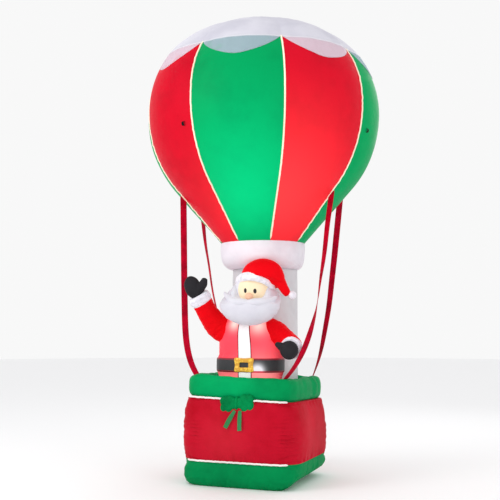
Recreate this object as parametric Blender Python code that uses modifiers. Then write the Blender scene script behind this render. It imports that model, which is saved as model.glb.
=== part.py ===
"""Tall garden inflatable: a bearded man in a red coat stands in the basket of a hot air balloon.

Metres, +Z up. The origin is on the ground under the balloon's axis, and the figure faces -Y.
Every sewn chamber, strap, band and trim is one solid of its own.
"""

import math

import bmesh
import bpy
from mathutils import Matrix, Vector

# Fits
SEAT_GAP = 0.0003
MERGE = 0.0001

# Balloon envelope
OVERALL_HEIGHT = 3.66
BALLOON_RADIUS = 0.94
WIDEST_HEIGHT = 2.887
CROWN_POWER = 2.17
LOWER_BULGE = 0.916
MOUTH_HEIGHT = 1.862
MOUTH_RADIUS = 0.335
GORES = 8
GORE_TURN = math.radians(8.0)
SEAM_DEPTH = 0.026
STEPS_PER_GORE = 4

# Snow cap on the crown, its edge set by shares of the crown's rise over the widest ring
CAP_THICKNESS = 0.012
CROWN_RISE = OVERALL_HEIGHT - CAP_THICKNESS - WIDEST_HEIGHT
CAP_CUSP_SHARE = 0.57556
CAP_SCALLOP_SHARE = 0.36531
CAP_CUSP_HEIGHT = WIDEST_HEIGHT + CAP_CUSP_SHARE * CROWN_RISE
CAP_SCALLOP_HEIGHT = WIDEST_HEIGHT + CAP_SCALLOP_SHARE * CROWN_RISE

# Collar under the envelope and the air column below it
SKIRT_DEPTH = 0.207
SKIRT_BOTTOM = MOUTH_HEIGHT - SKIRT_DEPTH
SKIRT_ROUND = 0.11
COLUMN_RADIUS = 0.262
COLUMN_X = -0.005
COLUMN_Y = 0.062

# Tether tabs on the envelope
TAB_HEIGHT = 2.69
TAB_WIDTH = 0.024
TAB_LENGTH = 0.032
TAB_STAND = 0.014
TAB_TURNS = (math.radians(-19.5), math.radians(81.5))

# Basket
BASKET_SIDE = 0.80
BASKET_X = -0.055
PLAN_POWER = 7.0
BASE_HEIGHT = 0.19
BASE_SWELL = 0.030
BASE_LIFT = 0.080
SOLE_INSET = 0.020
SOLE_SLOPE = 1.6
BODY_TOP = 0.6405
BODY_SWELL = 0.045
LEAN_X = -0.030
LEAN_Y = -0.027
RIM_WIDTH = 0.110
RIM_DEPTH = 0.1745
RIM_PROUD = 0.006
RIM_POWER = 2.8
PLAN_STEPS = 32
PIPING_RADIUS = 0.008
PIPING_START = math.radians(-133.0)
PIPING_END = math.radians(-47.0)

# Straps of flat webbing
STRAP_WIDTH = 0.050
STRAP_THICKNESS = 0.003
STRAP_RISE = 0.373
STRAP_TOP = MOUTH_HEIGHT + STRAP_RISE
STRAP_SINK = 0.012
STRAP_ROOT = 0.020
STRAP_STEPS = 14

# Bow on the basket's front
BOW_WIDTH = 0.255
BOW_LOOP_HEIGHT = 0.128
BOW_DEPTH = 0.050
BOW_X = -0.039
BOW_DROP = 0.022
TAIL_WIDTH = 0.034
TAIL_LENGTH = 0.145
TAIL_THICKNESS = 0.006

# Figure, drawn 1.085 tall and 0.548 wide, its hat tucked up before the collar
HAT_TUCK = 0.0705
FIGURE_HEIGHT = SKIRT_BOTTOM + HAT_TUCK - BODY_TOP
FIGURE_WIDTH = 0.548
HEIGHT_SCALE = FIGURE_HEIGHT / 1.085
WIDTH_SCALE = FIGURE_WIDTH / 0.548
ARM_CLEARANCE = 0.0263
FIGURE_X = -0.042
FIGURE_Y = -0.183
HEAD_TURN = math.radians(8.0)
TRIM_THICKNESS = 0.006
BELT_THICKNESS = 0.012
BUCKLE_THICKNESS = 0.020

COLLECTION_NAME = "inflatable_balloon_rider"
CUTTER_COLLECTION_NAME = "cutters"


def clear_scene():
    """Remove every object that the open file holds."""
    for old in list(bpy.data.objects):
        bpy.data.objects.remove(old, do_unlink=True)


def new_collection(name):
    """Give an empty collection of the scene by its name."""
    found = bpy.data.collections.get(name)
    if found is None:
        found = bpy.data.collections.new(name)
    if name not in bpy.context.scene.collection.children:
        bpy.context.scene.collection.children.link(found)
    return found


def fabric(name, colour, roughness=0.55, metallic=0.0):
    """Principled finish of one colour."""
    found = bpy.data.materials.get(name)
    if found is not None:
        return found
    made = bpy.data.materials.new(name)
    made.use_nodes = True
    shader = made.node_tree.nodes["Principled BSDF"]
    shader.inputs["Base Color"].default_value = (*colour, 1.0)
    shader.inputs["Roughness"].default_value = roughness
    shader.inputs["Metallic"].default_value = metallic
    made.diffuse_color = (*colour, 1.0)
    return made


def red_cloth():
    return fabric("red_cloth", (0.80, 0.02, 0.04))


def crimson_cloth():
    return fabric("crimson_cloth", (0.52, 0.01, 0.03))


def green_cloth():
    return fabric("green_cloth", (0.01, 0.36, 0.12))


def white_cloth():
    return fabric("white_cloth", (0.76, 0.74, 0.80))


def black_cloth():
    return fabric("black_cloth", (0.02, 0.02, 0.022))


def skin_cloth():
    return fabric("skin_cloth", (0.90, 0.76, 0.52))


def nose_cloth():
    return fabric("nose_cloth", (0.82, 0.52, 0.40))


def gold_cloth():
    return fabric("gold_cloth", (0.70, 0.36, 0.04), 0.45)


def webbing():
    return fabric("red_webbing", (0.40, 0.005, 0.02), 0.7)


def add_piece(name, mesh, finish, parent, location=(0.0, 0.0, 0.0), turn=None):
    """Put a mesh in the model as a named piece under its parent empty."""
    piece = bpy.data.objects.new(name, mesh)
    mesh.materials.clear()
    mesh.materials.append(finish)
    PARTS.objects.link(piece)
    piece.parent = parent
    piece.location = location
    if turn is not None:
        piece.rotation_euler = turn
    mesh.shade_smooth()
    mesh.set_sharp_from_angle(angle=math.radians(40.0))
    bpy.context.view_layer.update()
    return piece


def add_anchor(name, parent=None, location=(0.0, 0.0, 0.0), turn=0.0):
    """An empty that carries pieces, turned about the vertical."""
    anchor = bpy.data.objects.new(name, None)
    PARTS.objects.link(anchor)
    anchor.parent = parent
    anchor.location = location
    anchor.rotation_euler = (0.0, 0.0, turn)
    bpy.context.view_layer.update()
    return anchor


def finish_mesh(name, shape):
    """Turn a bmesh into a closed mesh with outward faces, in triangles so that copies agree."""
    bmesh.ops.remove_doubles(shape, verts=shape.verts, dist=MERGE)
    bmesh.ops.recalc_face_normals(shape, faces=shape.faces)
    bmesh.ops.triangulate(shape, faces=shape.faces)
    mesh = bpy.data.meshes.new(name)
    shape.to_mesh(mesh)
    shape.free()
    return mesh


def shaped_drum(name, levels, steps, place):
    """A drum of so many levels, each point put where place(level, angle) says."""
    shape = bmesh.new()
    bmesh.ops.create_cone(
        shape, cap_ends=True, segments=steps, radius1=1.0, radius2=1.0, depth=levels - 1.0
    )
    uprights = [edge for edge in shape.edges if abs(edge.verts[0].co.z - edge.verts[1].co.z) > 0.5]
    bmesh.ops.subdivide_edges(shape, edges=uprights, cuts=levels - 2)
    for point in shape.verts:
        level = round(point.co.z + (levels - 1.0) / 2.0)
        point.co = place(level, math.atan2(point.co.y, point.co.x))
    return finish_mesh(name, shape)


def ellipsoid(name, centre, halves, lean=0.0, roll=0.0, around=12, up=8):
    """A puffed ball with three half sizes, leaned about Y and rolled about X."""
    shape = bmesh.new()
    bmesh.ops.create_uvsphere(shape, u_segments=around, v_segments=up, radius=1.0)
    bmesh.ops.scale(shape, vec=halves, verts=shape.verts)
    turn = Matrix.Rotation(lean, 3, "Y") @ Matrix.Rotation(roll, 3, "X")
    bmesh.ops.rotate(shape, cent=(0.0, 0.0, 0.0), matrix=turn, verts=shape.verts)
    bmesh.ops.translate(shape, vec=centre, verts=shape.verts)
    return finish_mesh(name, shape)


def tube(name, stations, bevel_resolution=3, resolution=2):
    """A puffed tube through stations of (x, y, z, radius), with closed ends."""
    curve = bpy.data.curves.new(name, "CURVE")
    curve.dimensions = "3D"
    curve.bevel_depth = 1.0
    curve.bevel_resolution = bevel_resolution
    curve.use_fill_caps = True
    curve.resolution_u = resolution
    spline = curve.splines.new("NURBS")
    spline.points.add(len(stations) - 1)
    for point, station in zip(spline.points, stations):
        point.co = (*station[:3], 1.0)
        point.radius = station[3]
    spline.order_u = 3
    spline.use_endpoint_u = True
    guide = bpy.data.objects.new(name + "_path", curve)
    PARTS.objects.link(guide)
    bpy.context.view_layer.update()
    seen = guide.evaluated_get(bpy.context.evaluated_depsgraph_get())
    drawn = bpy.data.meshes.new_from_object(seen)
    shape = bmesh.new()
    shape.from_mesh(drawn)
    bpy.data.objects.remove(guide, do_unlink=True)
    return finish_mesh(name, shape)


def block(name, low, high):
    """A plain box between two corners."""
    shape = bmesh.new()
    bmesh.ops.create_cube(shape, size=1.0)
    span = Vector(high) - Vector(low)
    bmesh.ops.scale(shape, vec=span, verts=shape.verts)
    bmesh.ops.translate(shape, vec=Vector(low) + span / 2.0, verts=shape.verts)
    return finish_mesh(name, shape)


def add_tool(name, mesh, matrix=None):
    """A hidden solid that cuts or joins a piece."""
    tool = bpy.data.objects.new(name, mesh)
    CUTTERS.objects.link(tool)
    if matrix is not None:
        tool.matrix_world = matrix
    tool.hide_render = True
    tool.display_type = "WIRE"
    bpy.context.view_layer.update()
    return tool


def combine(piece, tool, operation):
    """Join, cut or keep a piece by a hidden solid."""
    change = piece.modifiers.new(operation.lower(), "BOOLEAN")
    change.operation = operation
    change.solver = "EXACT"
    change.object = tool
    bpy.context.view_layer.update()


def finished_skin(neighbour):
    """The neighbour's mesh as its modifiers leave it."""
    seen = neighbour.evaluated_get(bpy.context.evaluated_depsgraph_get())
    return bpy.data.meshes.new_from_object(seen)


def clear_of(piece, skin, matrix):
    """Cut a piece clear of one closed skin, with the seat gap left between them."""
    tool = add_tool(f"{piece.name}_by_{skin.name}", skin, matrix)
    swell = tool.modifiers.new("gap", "DISPLACE")
    swell.strength = SEAT_GAP
    swell.mid_level = 0.0
    combine(piece, tool, "DIFFERENCE")


def seat_on(piece, *neighbours, whole=False):
    """Cut a piece clear of its neighbours, or of their whole forms before any cut."""
    for neighbour in neighbours:
        skin = neighbour.data.copy() if whole else finished_skin(neighbour)
        clear_of(piece, skin, neighbour.matrix_world)


def tangent_share():
    """Angle on the lower ellipse where the straight cone to the mouth starts."""
    across = MOUTH_RADIUS / BALLOON_RADIUS
    down = (WIDEST_HEIGHT - MOUTH_HEIGHT) / LOWER_BULGE
    return math.atan2(down, across) - math.acos(min(1.0, 1.0 / math.hypot(across, down)))


def crown_height():
    """Top of the envelope under its cap."""
    return OVERALL_HEIGHT - CAP_THICKNESS


def crown_point(turn, swell=0.0):
    """Radius and height on the crown at an angle above the widest ring."""
    radius = (BALLOON_RADIUS + swell) * max(0.0, math.cos(turn)) ** (2.0 / CROWN_POWER)
    rise = (crown_height() + swell - WIDEST_HEIGHT) * math.sin(turn) ** (2.0 / CROWN_POWER)
    return radius, WIDEST_HEIGHT + rise


def crown_turn(height):
    """Angle above the widest ring at which the crown has a height."""
    share = (height - WIDEST_HEIGHT) / (crown_height() - WIDEST_HEIGHT)
    return math.asin(min(1.0, share ** (CROWN_POWER / 2.0)))


def envelope_outline():
    """Radius and height of each ring of the envelope, mouth first."""
    start = tangent_share()
    joint = (
        BALLOON_RADIUS * math.cos(start),
        WIDEST_HEIGHT - LOWER_BULGE * math.sin(start),
    )
    rings = []
    for index in range(3):
        share = index / 3.0
        rings.append(
            (
                MOUTH_RADIUS + (joint[0] - MOUTH_RADIUS) * share,
                MOUTH_HEIGHT + (joint[1] - MOUTH_HEIGHT) * share,
            )
        )
    for index in range(4):
        turn = start * (1.0 - index / 4.0)
        rings.append(
            (BALLOON_RADIUS * math.cos(turn), WIDEST_HEIGHT - LOWER_BULGE * math.sin(turn))
        )
    for index in range(9):
        rings.append(crown_point(math.pi / 2.0 * index / 8.0))
    return rings


def envelope_radius(height):
    """Radius of the envelope, between its rings too, at a height."""
    rings = envelope_outline()
    for low, high in zip(rings, rings[1:]):
        if low[1] <= height <= high[1]:
            share = (height - low[1]) / (high[1] - low[1])
            return low[0] + (high[0] - low[0]) * share
    return 0.0


def gore_share(angle):
    """Place across a gore, from 0 at one seam to 1 at the next."""
    gore = 2.0 * math.pi / GORES
    return ((angle + math.pi / 2.0 - GORE_TURN) / gore + 0.5) % 1.0


def lobe(angle):
    """Share of the full radius that a gore reaches at an angle."""
    return 1.0 - SEAM_DEPTH * (2.0 * gore_share(angle) - 1.0) ** 2


def polar(radius, angle, height):
    return Vector((radius * math.cos(angle), radius * math.sin(angle), height))


def heading(angle):
    """Flat direction at an angle from -Y towards +X."""
    return Vector((math.sin(angle), -math.cos(angle), 0.0))


def seam_heading(index):
    """Angle of a gore seam from -Y towards +X."""
    return GORE_TURN + (index + 0.5) * 2.0 * math.pi / GORES


def build_balloon(anchor):
    """Envelope of eight gores, red and green by turns."""
    rings = envelope_outline()
    steps = GORES * STEPS_PER_GORE

    def place(level, angle):
        radius, height = rings[level]
        turned = angle + GORE_TURN
        return polar(radius * lobe(turned), turned, height)

    mesh = shaped_drum("balloon", len(rings), steps, place)
    piece = add_piece("balloon", mesh, green_cloth(), anchor)
    mesh.materials.append(red_cloth())
    for face in mesh.polygons:
        angle = math.atan2(face.center.y, face.center.x)
        gore = 2.0 * math.pi / GORES
        index = math.floor((angle + math.pi / 2.0 - GORE_TURN) / gore + 0.5)
        face.material_index = index % 2
    return piece


def build_cap(anchor, balloon):
    """Scalloped sheet that lies on the crown, lowest in the middle of each gore."""
    cusp = crown_turn(CAP_CUSP_HEIGHT)
    scallop = crown_turn(CAP_SCALLOP_HEIGHT)
    dome_levels = 5

    def place(level, angle):
        turned = angle + GORE_TURN
        drop = math.sin(math.pi * gore_share(turned)) ** 0.75
        edge = cusp + (scallop - cusp) * drop
        if level == 0:
            return Vector((0.0, 0.0, CAP_SCALLOP_HEIGHT - 0.2))
        if level == 1:
            radius, height = crown_point(edge)
            return polar(radius * 0.9, turned, height - 0.05)
        share = (level - 2.0) / dome_levels
        radius, height = crown_point(edge + (math.pi / 2.0 - edge) * share, CAP_THICKNESS)
        return polar(radius * lobe(turned), turned, height)

    steps = GORES * STEPS_PER_GORE
    mesh = shaped_drum("snow_cap", dome_levels + 3, steps, place)
    piece = add_piece("snow_cap", mesh, white_cloth(), anchor)
    seat_on(piece, balloon)
    return piece


def build_skirt(anchor):
    """White collar that closes the envelope down to the air column."""
    straight = MOUTH_HEIGHT - SEAT_GAP
    turns = 4

    def place(level, angle):
        if level > turns:
            return polar(MOUTH_RADIUS, angle, straight)
        bend = math.pi / 2.0 * level / turns
        radius = COLUMN_RADIUS + (MOUTH_RADIUS - COLUMN_RADIUS) * math.sin(bend)
        height = SKIRT_BOTTOM + SKIRT_ROUND * (1.0 - math.cos(bend))
        centre = Vector((COLUMN_X, COLUMN_Y, 0.0)) * (1.0 - math.sin(bend))
        return centre + polar(radius, angle, height)

    mesh = shaped_drum("balloon_skirt", turns + 2, 24, place)
    return add_piece("balloon_skirt", mesh, white_cloth(), anchor)


def panel_height(x, y):
    """Height of the basket's leaning top at a place."""
    return BODY_TOP + LEAN_X * (x - BASKET_X) + LEAN_Y * y


def build_column(anchor):
    """Air column from the basket's top up to the collar."""
    levels = 4

    def place(level, angle):
        point = Vector((COLUMN_X, COLUMN_Y, 0.0)) + polar(COLUMN_RADIUS, angle, 0.0)
        low = panel_height(point.x, point.y) + SEAT_GAP
        high = SKIRT_BOTTOM - SEAT_GAP
        point.z = low + (high - low) * level / (levels - 1.0)
        return point

    mesh = shaped_drum("column", levels, 20, place)
    return add_piece("column", mesh, white_cloth(), anchor)


def seam_half():
    """Half of the basket's plan at its seams, in the middle of a side."""
    corner = math.cos(math.pi / 4.0) ** (2.0 / PLAN_POWER)
    return BASKET_SIDE / 2.0 / corner


def basket_plan(half, angle):
    """Point on the basket's rounded square plan."""
    across = math.copysign(abs(math.cos(angle)) ** (2.0 / PLAN_POWER), math.cos(angle))
    along = math.copysign(abs(math.sin(angle)) ** (2.0 / PLAN_POWER), math.sin(angle))
    return Vector((BASKET_X + half * across, half * along, 0.0))


def build_base(anchor):
    """Green base band with the flat sole that the inflatable stands on."""
    section = ((0.0, 0.0), (0.06, 0.3), (0.35, 1.0), (0.75, 0.8), (1.0, 0.0))

    def place(level, angle):
        rise, swell = section[level]
        lift = BASE_LIFT * max(0.0, math.cos(angle - math.pi / 12.0)) ** 2
        extra = swell * BASE_SWELL
        if level == 0:
            extra = -SOLE_INSET - SOLE_SLOPE * lift
        point = basket_plan(seam_half() + extra, angle)
        if level > 0:
            point.z = lift + (BASE_HEIGHT - SEAT_GAP - lift) * rise
        return point

    mesh = shaped_drum("basket_base", len(section), PLAN_STEPS, place)
    return add_piece("basket_base", mesh, green_cloth(), anchor)


def build_body(anchor):
    """Red basket body, swollen between its seams and closed on top."""
    levels = 7

    def place(level, angle):
        share = level / (levels - 1.0)
        swell = BODY_SWELL * math.sin(math.pi * share) ** 0.8
        point = basket_plan(seam_half() + swell, angle)
        top = panel_height(point.x, point.y)
        point.z = BASE_HEIGHT + (top - BASE_HEIGHT) * share
        return point

    mesh = shaped_drum("basket", levels, PLAN_STEPS, place)
    return add_piece("basket", mesh, crimson_cloth(), anchor)


def rim_line():
    """Half of the plan on the rim roll's middle line."""
    return seam_half() + RIM_PROUD - RIM_WIDTH / 2.0


def rim_top(x, y):
    """Height of the rim roll's crest at a place."""
    return panel_height(x, y) + SEAT_GAP + RIM_DEPTH


def build_rim(anchor):
    """Green rim roll that goes round the basket's top."""
    sides = 8
    shape = bmesh.new()
    bmesh.ops.create_grid(shape, x_segments=PLAN_STEPS, y_segments=sides, size=0.5)
    for point in shape.verts:
        angle = 2.0 * math.pi * (point.co.x + 0.5)
        bend = 2.0 * math.pi * (point.co.y + 0.5)
        out = math.copysign(abs(math.cos(bend)) ** (2.0 / RIM_POWER), math.cos(bend))
        rise = math.copysign(abs(math.sin(bend)) ** (2.0 / RIM_POWER), math.sin(bend))
        placed = basket_plan(rim_line() + out * RIM_WIDTH / 2.0, angle)
        middle = panel_height(placed.x, placed.y) + SEAT_GAP + RIM_DEPTH / 2.0
        placed.z = middle + rise * RIM_DEPTH / 2.0
        point.co = placed
    mesh = finish_mesh("basket_rim", shape)
    return add_piece("basket_rim", mesh, green_cloth(), anchor)


def build_piping(name, anchor, height_at, *neighbours):
    """White corded seam along the basket's front, from corner to corner."""
    stations = []
    count = 13
    for index in range(count):
        angle = PIPING_START + (PIPING_END - PIPING_START) * index / (count - 1.0)
        point = basket_plan(seam_half() + 1.5 * PIPING_RADIUS, angle)
        stations.append((point.x, point.y, height_at(point.x, point.y), PIPING_RADIUS))
    mesh = tube(name, stations, bevel_resolution=1, resolution=1)
    piece = add_piece(name, mesh, white_cloth(), anchor)
    seat_on(piece, *neighbours)
    return piece


def past_cuff(seam, corner, power):
    """Straight share of a strap's sideways run that carries it past the lowered cuff."""
    top, low = strap_ends(seam, corner)
    cuff = figure_point(0.382, -0.120, 0.398)
    share = (top.z - cuff.z) / (top.z - low.z)
    run = (top.x - cuff.x - drawn(0.085) - ARM_CLEARANCE) / (top.x - low.x)
    return (run - share**power) / (share - share**power)


def strap_shares():
    """For each strap: seam, corner, straight share and power of its sideways run, turns in degrees.

    The run towards the front or back is straight on the front right strap and the same elsewhere.
    """
    return {
        "strap_front_left": (-2, (-1, -1), 0.20, 10.0, ((0.0, -60.0), (0.4, -72.0), (1.0, -80.0))),
        "strap_back_left": (-3, (-1, 1), 0.60, 2.6, ((0.0, -105.0), (0.3, -138.0), (1.0, -150.0))),
        "strap_front_right": (
            1,
            (1, -1),
            past_cuff(1, (1, -1), 6.0),
            6.0,
            ((0.0, 75.0), (0.35, 55.0), (0.59, 20.0), (0.8, -45.0), (1.0, -20.0)),
        ),
        "strap_back_right": (
            2,
            (1, 1),
            0.65,
            5.0,
            ((0.0, 120.0), (0.4, 85.0), (0.8, 60.0), (1.0, 20.0)),
        ),
    }


def blended(pairs, share):
    """Value between the nearest pairs of (share, value)."""
    for low, high in zip(pairs, pairs[1:]):
        if share <= high[0]:
            part = (share - low[0]) / (high[0] - low[0])
            smooth = part * part * (3.0 - 2.0 * part)
            return low[1] + (high[1] - low[1]) * smooth
    return pairs[-1][1]


def strap_ends(seam, corner):
    """Where a strap leaves its seam and where it meets the rim roll's inner crest."""
    angle = seam_heading(seam)
    radius = envelope_radius(STRAP_TOP) * (1.0 - SEAM_DEPTH)
    top = heading(angle) * radius + Vector((0.0, 0.0, STRAP_TOP))
    reach = rim_line() * math.cos(math.pi / 4.0) ** (2.0 / PLAN_POWER)
    low = Vector((BASKET_X + corner[0] * reach, corner[1] * reach, 0.0))
    low.z = rim_top(low.x, low.y) - STRAP_SINK
    return top, low


def build_strap(name, anchor, balloon, rim):
    """Flat webbing from an envelope seam down to a corner of the rim, bowed and twisted."""
    seam, corner, straight, power, turns = strap_shares()[name]
    top, low = strap_ends(seam, corner)
    start = top - heading(seam_heading(seam)) * STRAP_ROOT
    shape = bmesh.new()
    bmesh.ops.create_grid(shape, x_segments=1, y_segments=STRAP_STEPS, size=0.5)
    for point in shape.verts:
        share = point.co.y + 0.5
        run = straight * share + (1.0 - straight) * share**power
        centre = (start if share < MERGE else top).lerp(low, run)
        if name == "strap_front_right":
            centre.y = top.y + (low.y - top.y) * share
        centre.z = top.z + (low.z - top.z) * share
        across = heading(math.radians(blended(turns, share))) * STRAP_WIDTH
        point.co = centre + across * point.co.x
    mesh = bpy.data.meshes.new(name)
    shape.to_mesh(mesh)
    shape.free()
    piece = add_piece(name, mesh, webbing(), anchor)
    wall = piece.modifiers.new("webbing", "SOLIDIFY")
    wall.thickness = STRAP_THICKNESS
    wall.offset = 0.0
    seat_on(piece, balloon, rim)
    return piece


def build_tab(name, anchor, angle, balloon):
    """Small sewn tether tab on the envelope."""
    radius = envelope_radius(TAB_HEIGHT)
    half = TAB_WIDTH / 2.0
    mesh = block(
        name,
        (-half, -radius - TAB_STAND, TAB_HEIGHT - TAB_LENGTH / 2.0),
        (half, -radius * (1.0 - 2.0 * SEAM_DEPTH), TAB_HEIGHT + TAB_LENGTH / 2.0),
    )
    piece = add_piece(name, mesh, black_cloth(), anchor, turn=(0.0, 0.0, angle))
    seat_on(piece, balloon)
    return piece


def build_bow(anchor, *neighbours):
    """Two puffed loops and a knot, in one piece, on the rim's front seam."""
    front = -seam_half() - RIM_PROUD
    height = panel_height(BOW_X, front) - BOW_DROP
    middle = Vector((BOW_X, front, height))
    knot_half = BOW_WIDTH * 0.055
    loop_half = BOW_WIDTH / 4.0
    knot_halves = (knot_half, BOW_DEPTH * 0.75, BOW_LOOP_HEIGHT * 0.45)
    knot = ellipsoid("bow", middle, knot_halves, around=8, up=4)
    piece = add_piece("bow", knot, green_cloth(), anchor)
    for side in (-1, 1):
        centre = middle + Vector((side * loop_half, 0.0, 0.0))
        halves = (loop_half, BOW_DEPTH / 2.0, BOW_LOOP_HEIGHT / 2.0)
        loop = ellipsoid(f"bow_loop_{side}", centre, halves, around=8, up=6)
        for point in loop.vertices:
            near = 1.0 - side * (point.co.x - middle.x) / (2.0 * loop_half)
            point.co.z = middle.z + (point.co.z - middle.z) * (1.0 - 0.35 * max(0.0, near))
        combine(piece, add_tool(f"bow_loop_{side}", loop), "UNION")
    seat_on(piece, *neighbours)
    return piece


def build_bow_tail(name, anchor, side, *neighbours):
    """Flat ribbon end that hangs from the knot."""
    front = -seam_half() - BODY_SWELL - TAIL_THICKNESS
    height = panel_height(BOW_X, front) - BOW_DROP - BOW_LOOP_HEIGHT * 0.42
    half = TAIL_WIDTH / 2.0
    mesh = block(name, (-half, 0.0, -TAIL_LENGTH), (half, BODY_SWELL + TAIL_THICKNESS, 0.0))
    shape = bmesh.new()
    shape.from_mesh(mesh)
    uprights = [edge for edge in shape.edges if abs(edge.verts[0].co.z - edge.verts[1].co.z) > half]
    bmesh.ops.subdivide_edges(shape, edges=uprights, cuts=3)
    for point in shape.verts:
        slope = 1.0 + point.co.z / TAIL_LENGTH
        if point.co.y < MERGE:
            point.co.y = BODY_SWELL * 0.55 * slope * slope
    mesh = finish_mesh(name, shape)
    splay = math.radians(28.0 if side < 0 else 2.0) * (1 if side < 0 else -1)
    piece = add_piece(
        name,
        mesh,
        green_cloth(),
        anchor,
        location=(BOW_X + side * TAIL_WIDTH * 0.62, front, height),
        turn=(0.0, splay, 0.0),
    )
    seat_on(piece, *neighbours)
    return piece


def drawn(value):
    """A breadth on the figure, from its value at the breadth that it was drawn at."""
    return value * WIDTH_SCALE


def figure_point(x, y, z):
    """A place on the figure, from offsets to its foot in the middle of the coat."""
    foot = Vector((FIGURE_X, FIGURE_Y, BODY_TOP))
    return foot + Vector((drawn(x), drawn(y), z * HEIGHT_SCALE))


def coat_sections():
    """Height, half width, half depth and sideways shift of each coat section."""
    return (
        (0.012, 0.250, 0.128, 0.000),
        (0.10, 0.268, 0.142, 0.000),
        (0.21, 0.274, 0.146, 0.000),
        (0.32, 0.274, 0.146, 0.000),
        (0.42, 0.266, 0.145, -0.004),
        (0.50, 0.246, 0.140, -0.008),
        (0.57, 0.216, 0.128, -0.010),
        (0.63, 0.168, 0.108, -0.008),
        (0.68, 0.105, 0.076, 0.005),
    )


def coat_shell(name, grow):
    """The coat's outer form, grown outwards for the bands that lie on it."""
    sections = coat_sections()
    power = 2.0 / 2.25

    def place(level, angle):
        height, wide, deep, shift = sections[level]
        across = math.copysign(abs(math.cos(angle)) ** power, math.cos(angle))
        along = math.copysign(abs(math.sin(angle)) ** power, math.sin(angle))
        point = figure_point(shift, 0.0, height)
        point.x += (drawn(wide) + grow) * across
        point.y += (drawn(deep) + grow) * along
        if level == 0:
            point.z = panel_height(point.x, point.y) + SEAT_GAP
        return point

    return shaped_drum(name, len(sections), 20, place)


def build_coat(anchor, column):
    """The man's coat, from its hem inside the basket up to the neck."""
    piece = add_piece("coat", coat_shell("coat", 0.0), red_cloth(), anchor)
    seat_on(piece, column)
    return piece


def band_on_coat(name, anchor, finish, grow, low, high, *neighbours):
    """A band that lies on the coat, kept between two corners of a box."""
    piece = add_piece(name, coat_shell(name, grow), finish, anchor)
    combine(piece, add_tool(name + "_keep", block(name + "_keep", low, high)), "INTERSECT")
    seat_on(piece, *neighbours)
    return piece


def build_coat_trim(anchor, coat, column):
    """White front trim, black belt and gold buckle of the coat."""
    front = FIGURE_Y - drawn(0.30)
    trim_x = drawn(0.006)
    low = figure_point(trim_x - 0.049, 0.0, 0.03)
    high = figure_point(trim_x + 0.049, 0.0, 0.60)
    placket = band_on_coat(
        "coat_trim",
        anchor,
        white_cloth(),
        TRIM_THICKNESS,
        (low.x, front, low.z),
        (high.x, FIGURE_Y - drawn(0.06), high.z),
        coat,
    )
    low = figure_point(-0.4, 0.0, 0.210)
    high = figure_point(0.4, 0.0, 0.318)
    belt = band_on_coat(
        "belt",
        anchor,
        black_cloth(),
        BELT_THICKNESS,
        (low.x, front, low.z),
        (high.x, COLUMN_Y, high.z),
        coat,
        placket,
        column,
    )
    low = figure_point(-0.070, 0.0, 0.206)
    high = figure_point(0.076, 0.0, 0.323)
    buckle = band_on_coat(
        "buckle",
        anchor,
        gold_cloth(),
        BUCKLE_THICKNESS,
        (low.x, front, low.z),
        (high.x, FIGURE_Y - drawn(0.10), high.z),
    )
    bed = coat_shell("buckle_bed", BELT_THICKNESS + SEAT_GAP)
    combine(buckle, add_tool("buckle_bed", bed), "DIFFERENCE")
    low = figure_point(-0.034, 0.0, 0.246)
    high = figure_point(0.039, 0.0, 0.286)
    window = block("buckle_window", (low.x, front, low.z), (high.x, FIGURE_Y, high.z))
    combine(buckle, add_tool("buckle_window", window), "DIFFERENCE")
    return placket


def stations_at(points):
    """Tube stations on the figure from offsets to its foot and radii."""
    placed = []
    for x, y, z, radius in points:
        placed.append((*figure_point(x, y, z), drawn(radius)))
    return placed


def build_arm(side_name, anchor, sleeve_points, cuff_points, coat, column):
    """Puffed sleeve and the white cuff at its end."""
    sleeve_mesh = tube(side_name + "_sleeve", stations_at(sleeve_points))
    sleeve = add_piece(side_name + "_sleeve", sleeve_mesh, red_cloth(), anchor)
    seat_on(sleeve, coat, column, whole=True)
    cuff_mesh = tube(side_name + "_cuff", stations_at(cuff_points), resolution=1)
    cuff = add_piece(side_name + "_cuff", cuff_mesh, white_cloth(), anchor)
    seat_on(cuff, sleeve, whole=True)
    return cuff


def build_mitten(name, anchor, palm, thumb, *neighbours):
    """Black mitten: a puffed palm joined to its thumb."""
    centre, halves, lean, roll = palm
    scaled = [drawn(value) for value in halves]
    mesh = ellipsoid(name, figure_point(*centre), scaled, lean, roll, around=10, up=7)
    piece = add_piece(name, mesh, black_cloth(), anchor)
    thumb_mesh = tube(name + "_thumb", stations_at(thumb), 1, 2)
    combine(piece, add_tool(name + "_thumb", thumb_mesh), "UNION")
    seat_on(piece, *neighbours, whole=True)
    return piece


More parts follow.
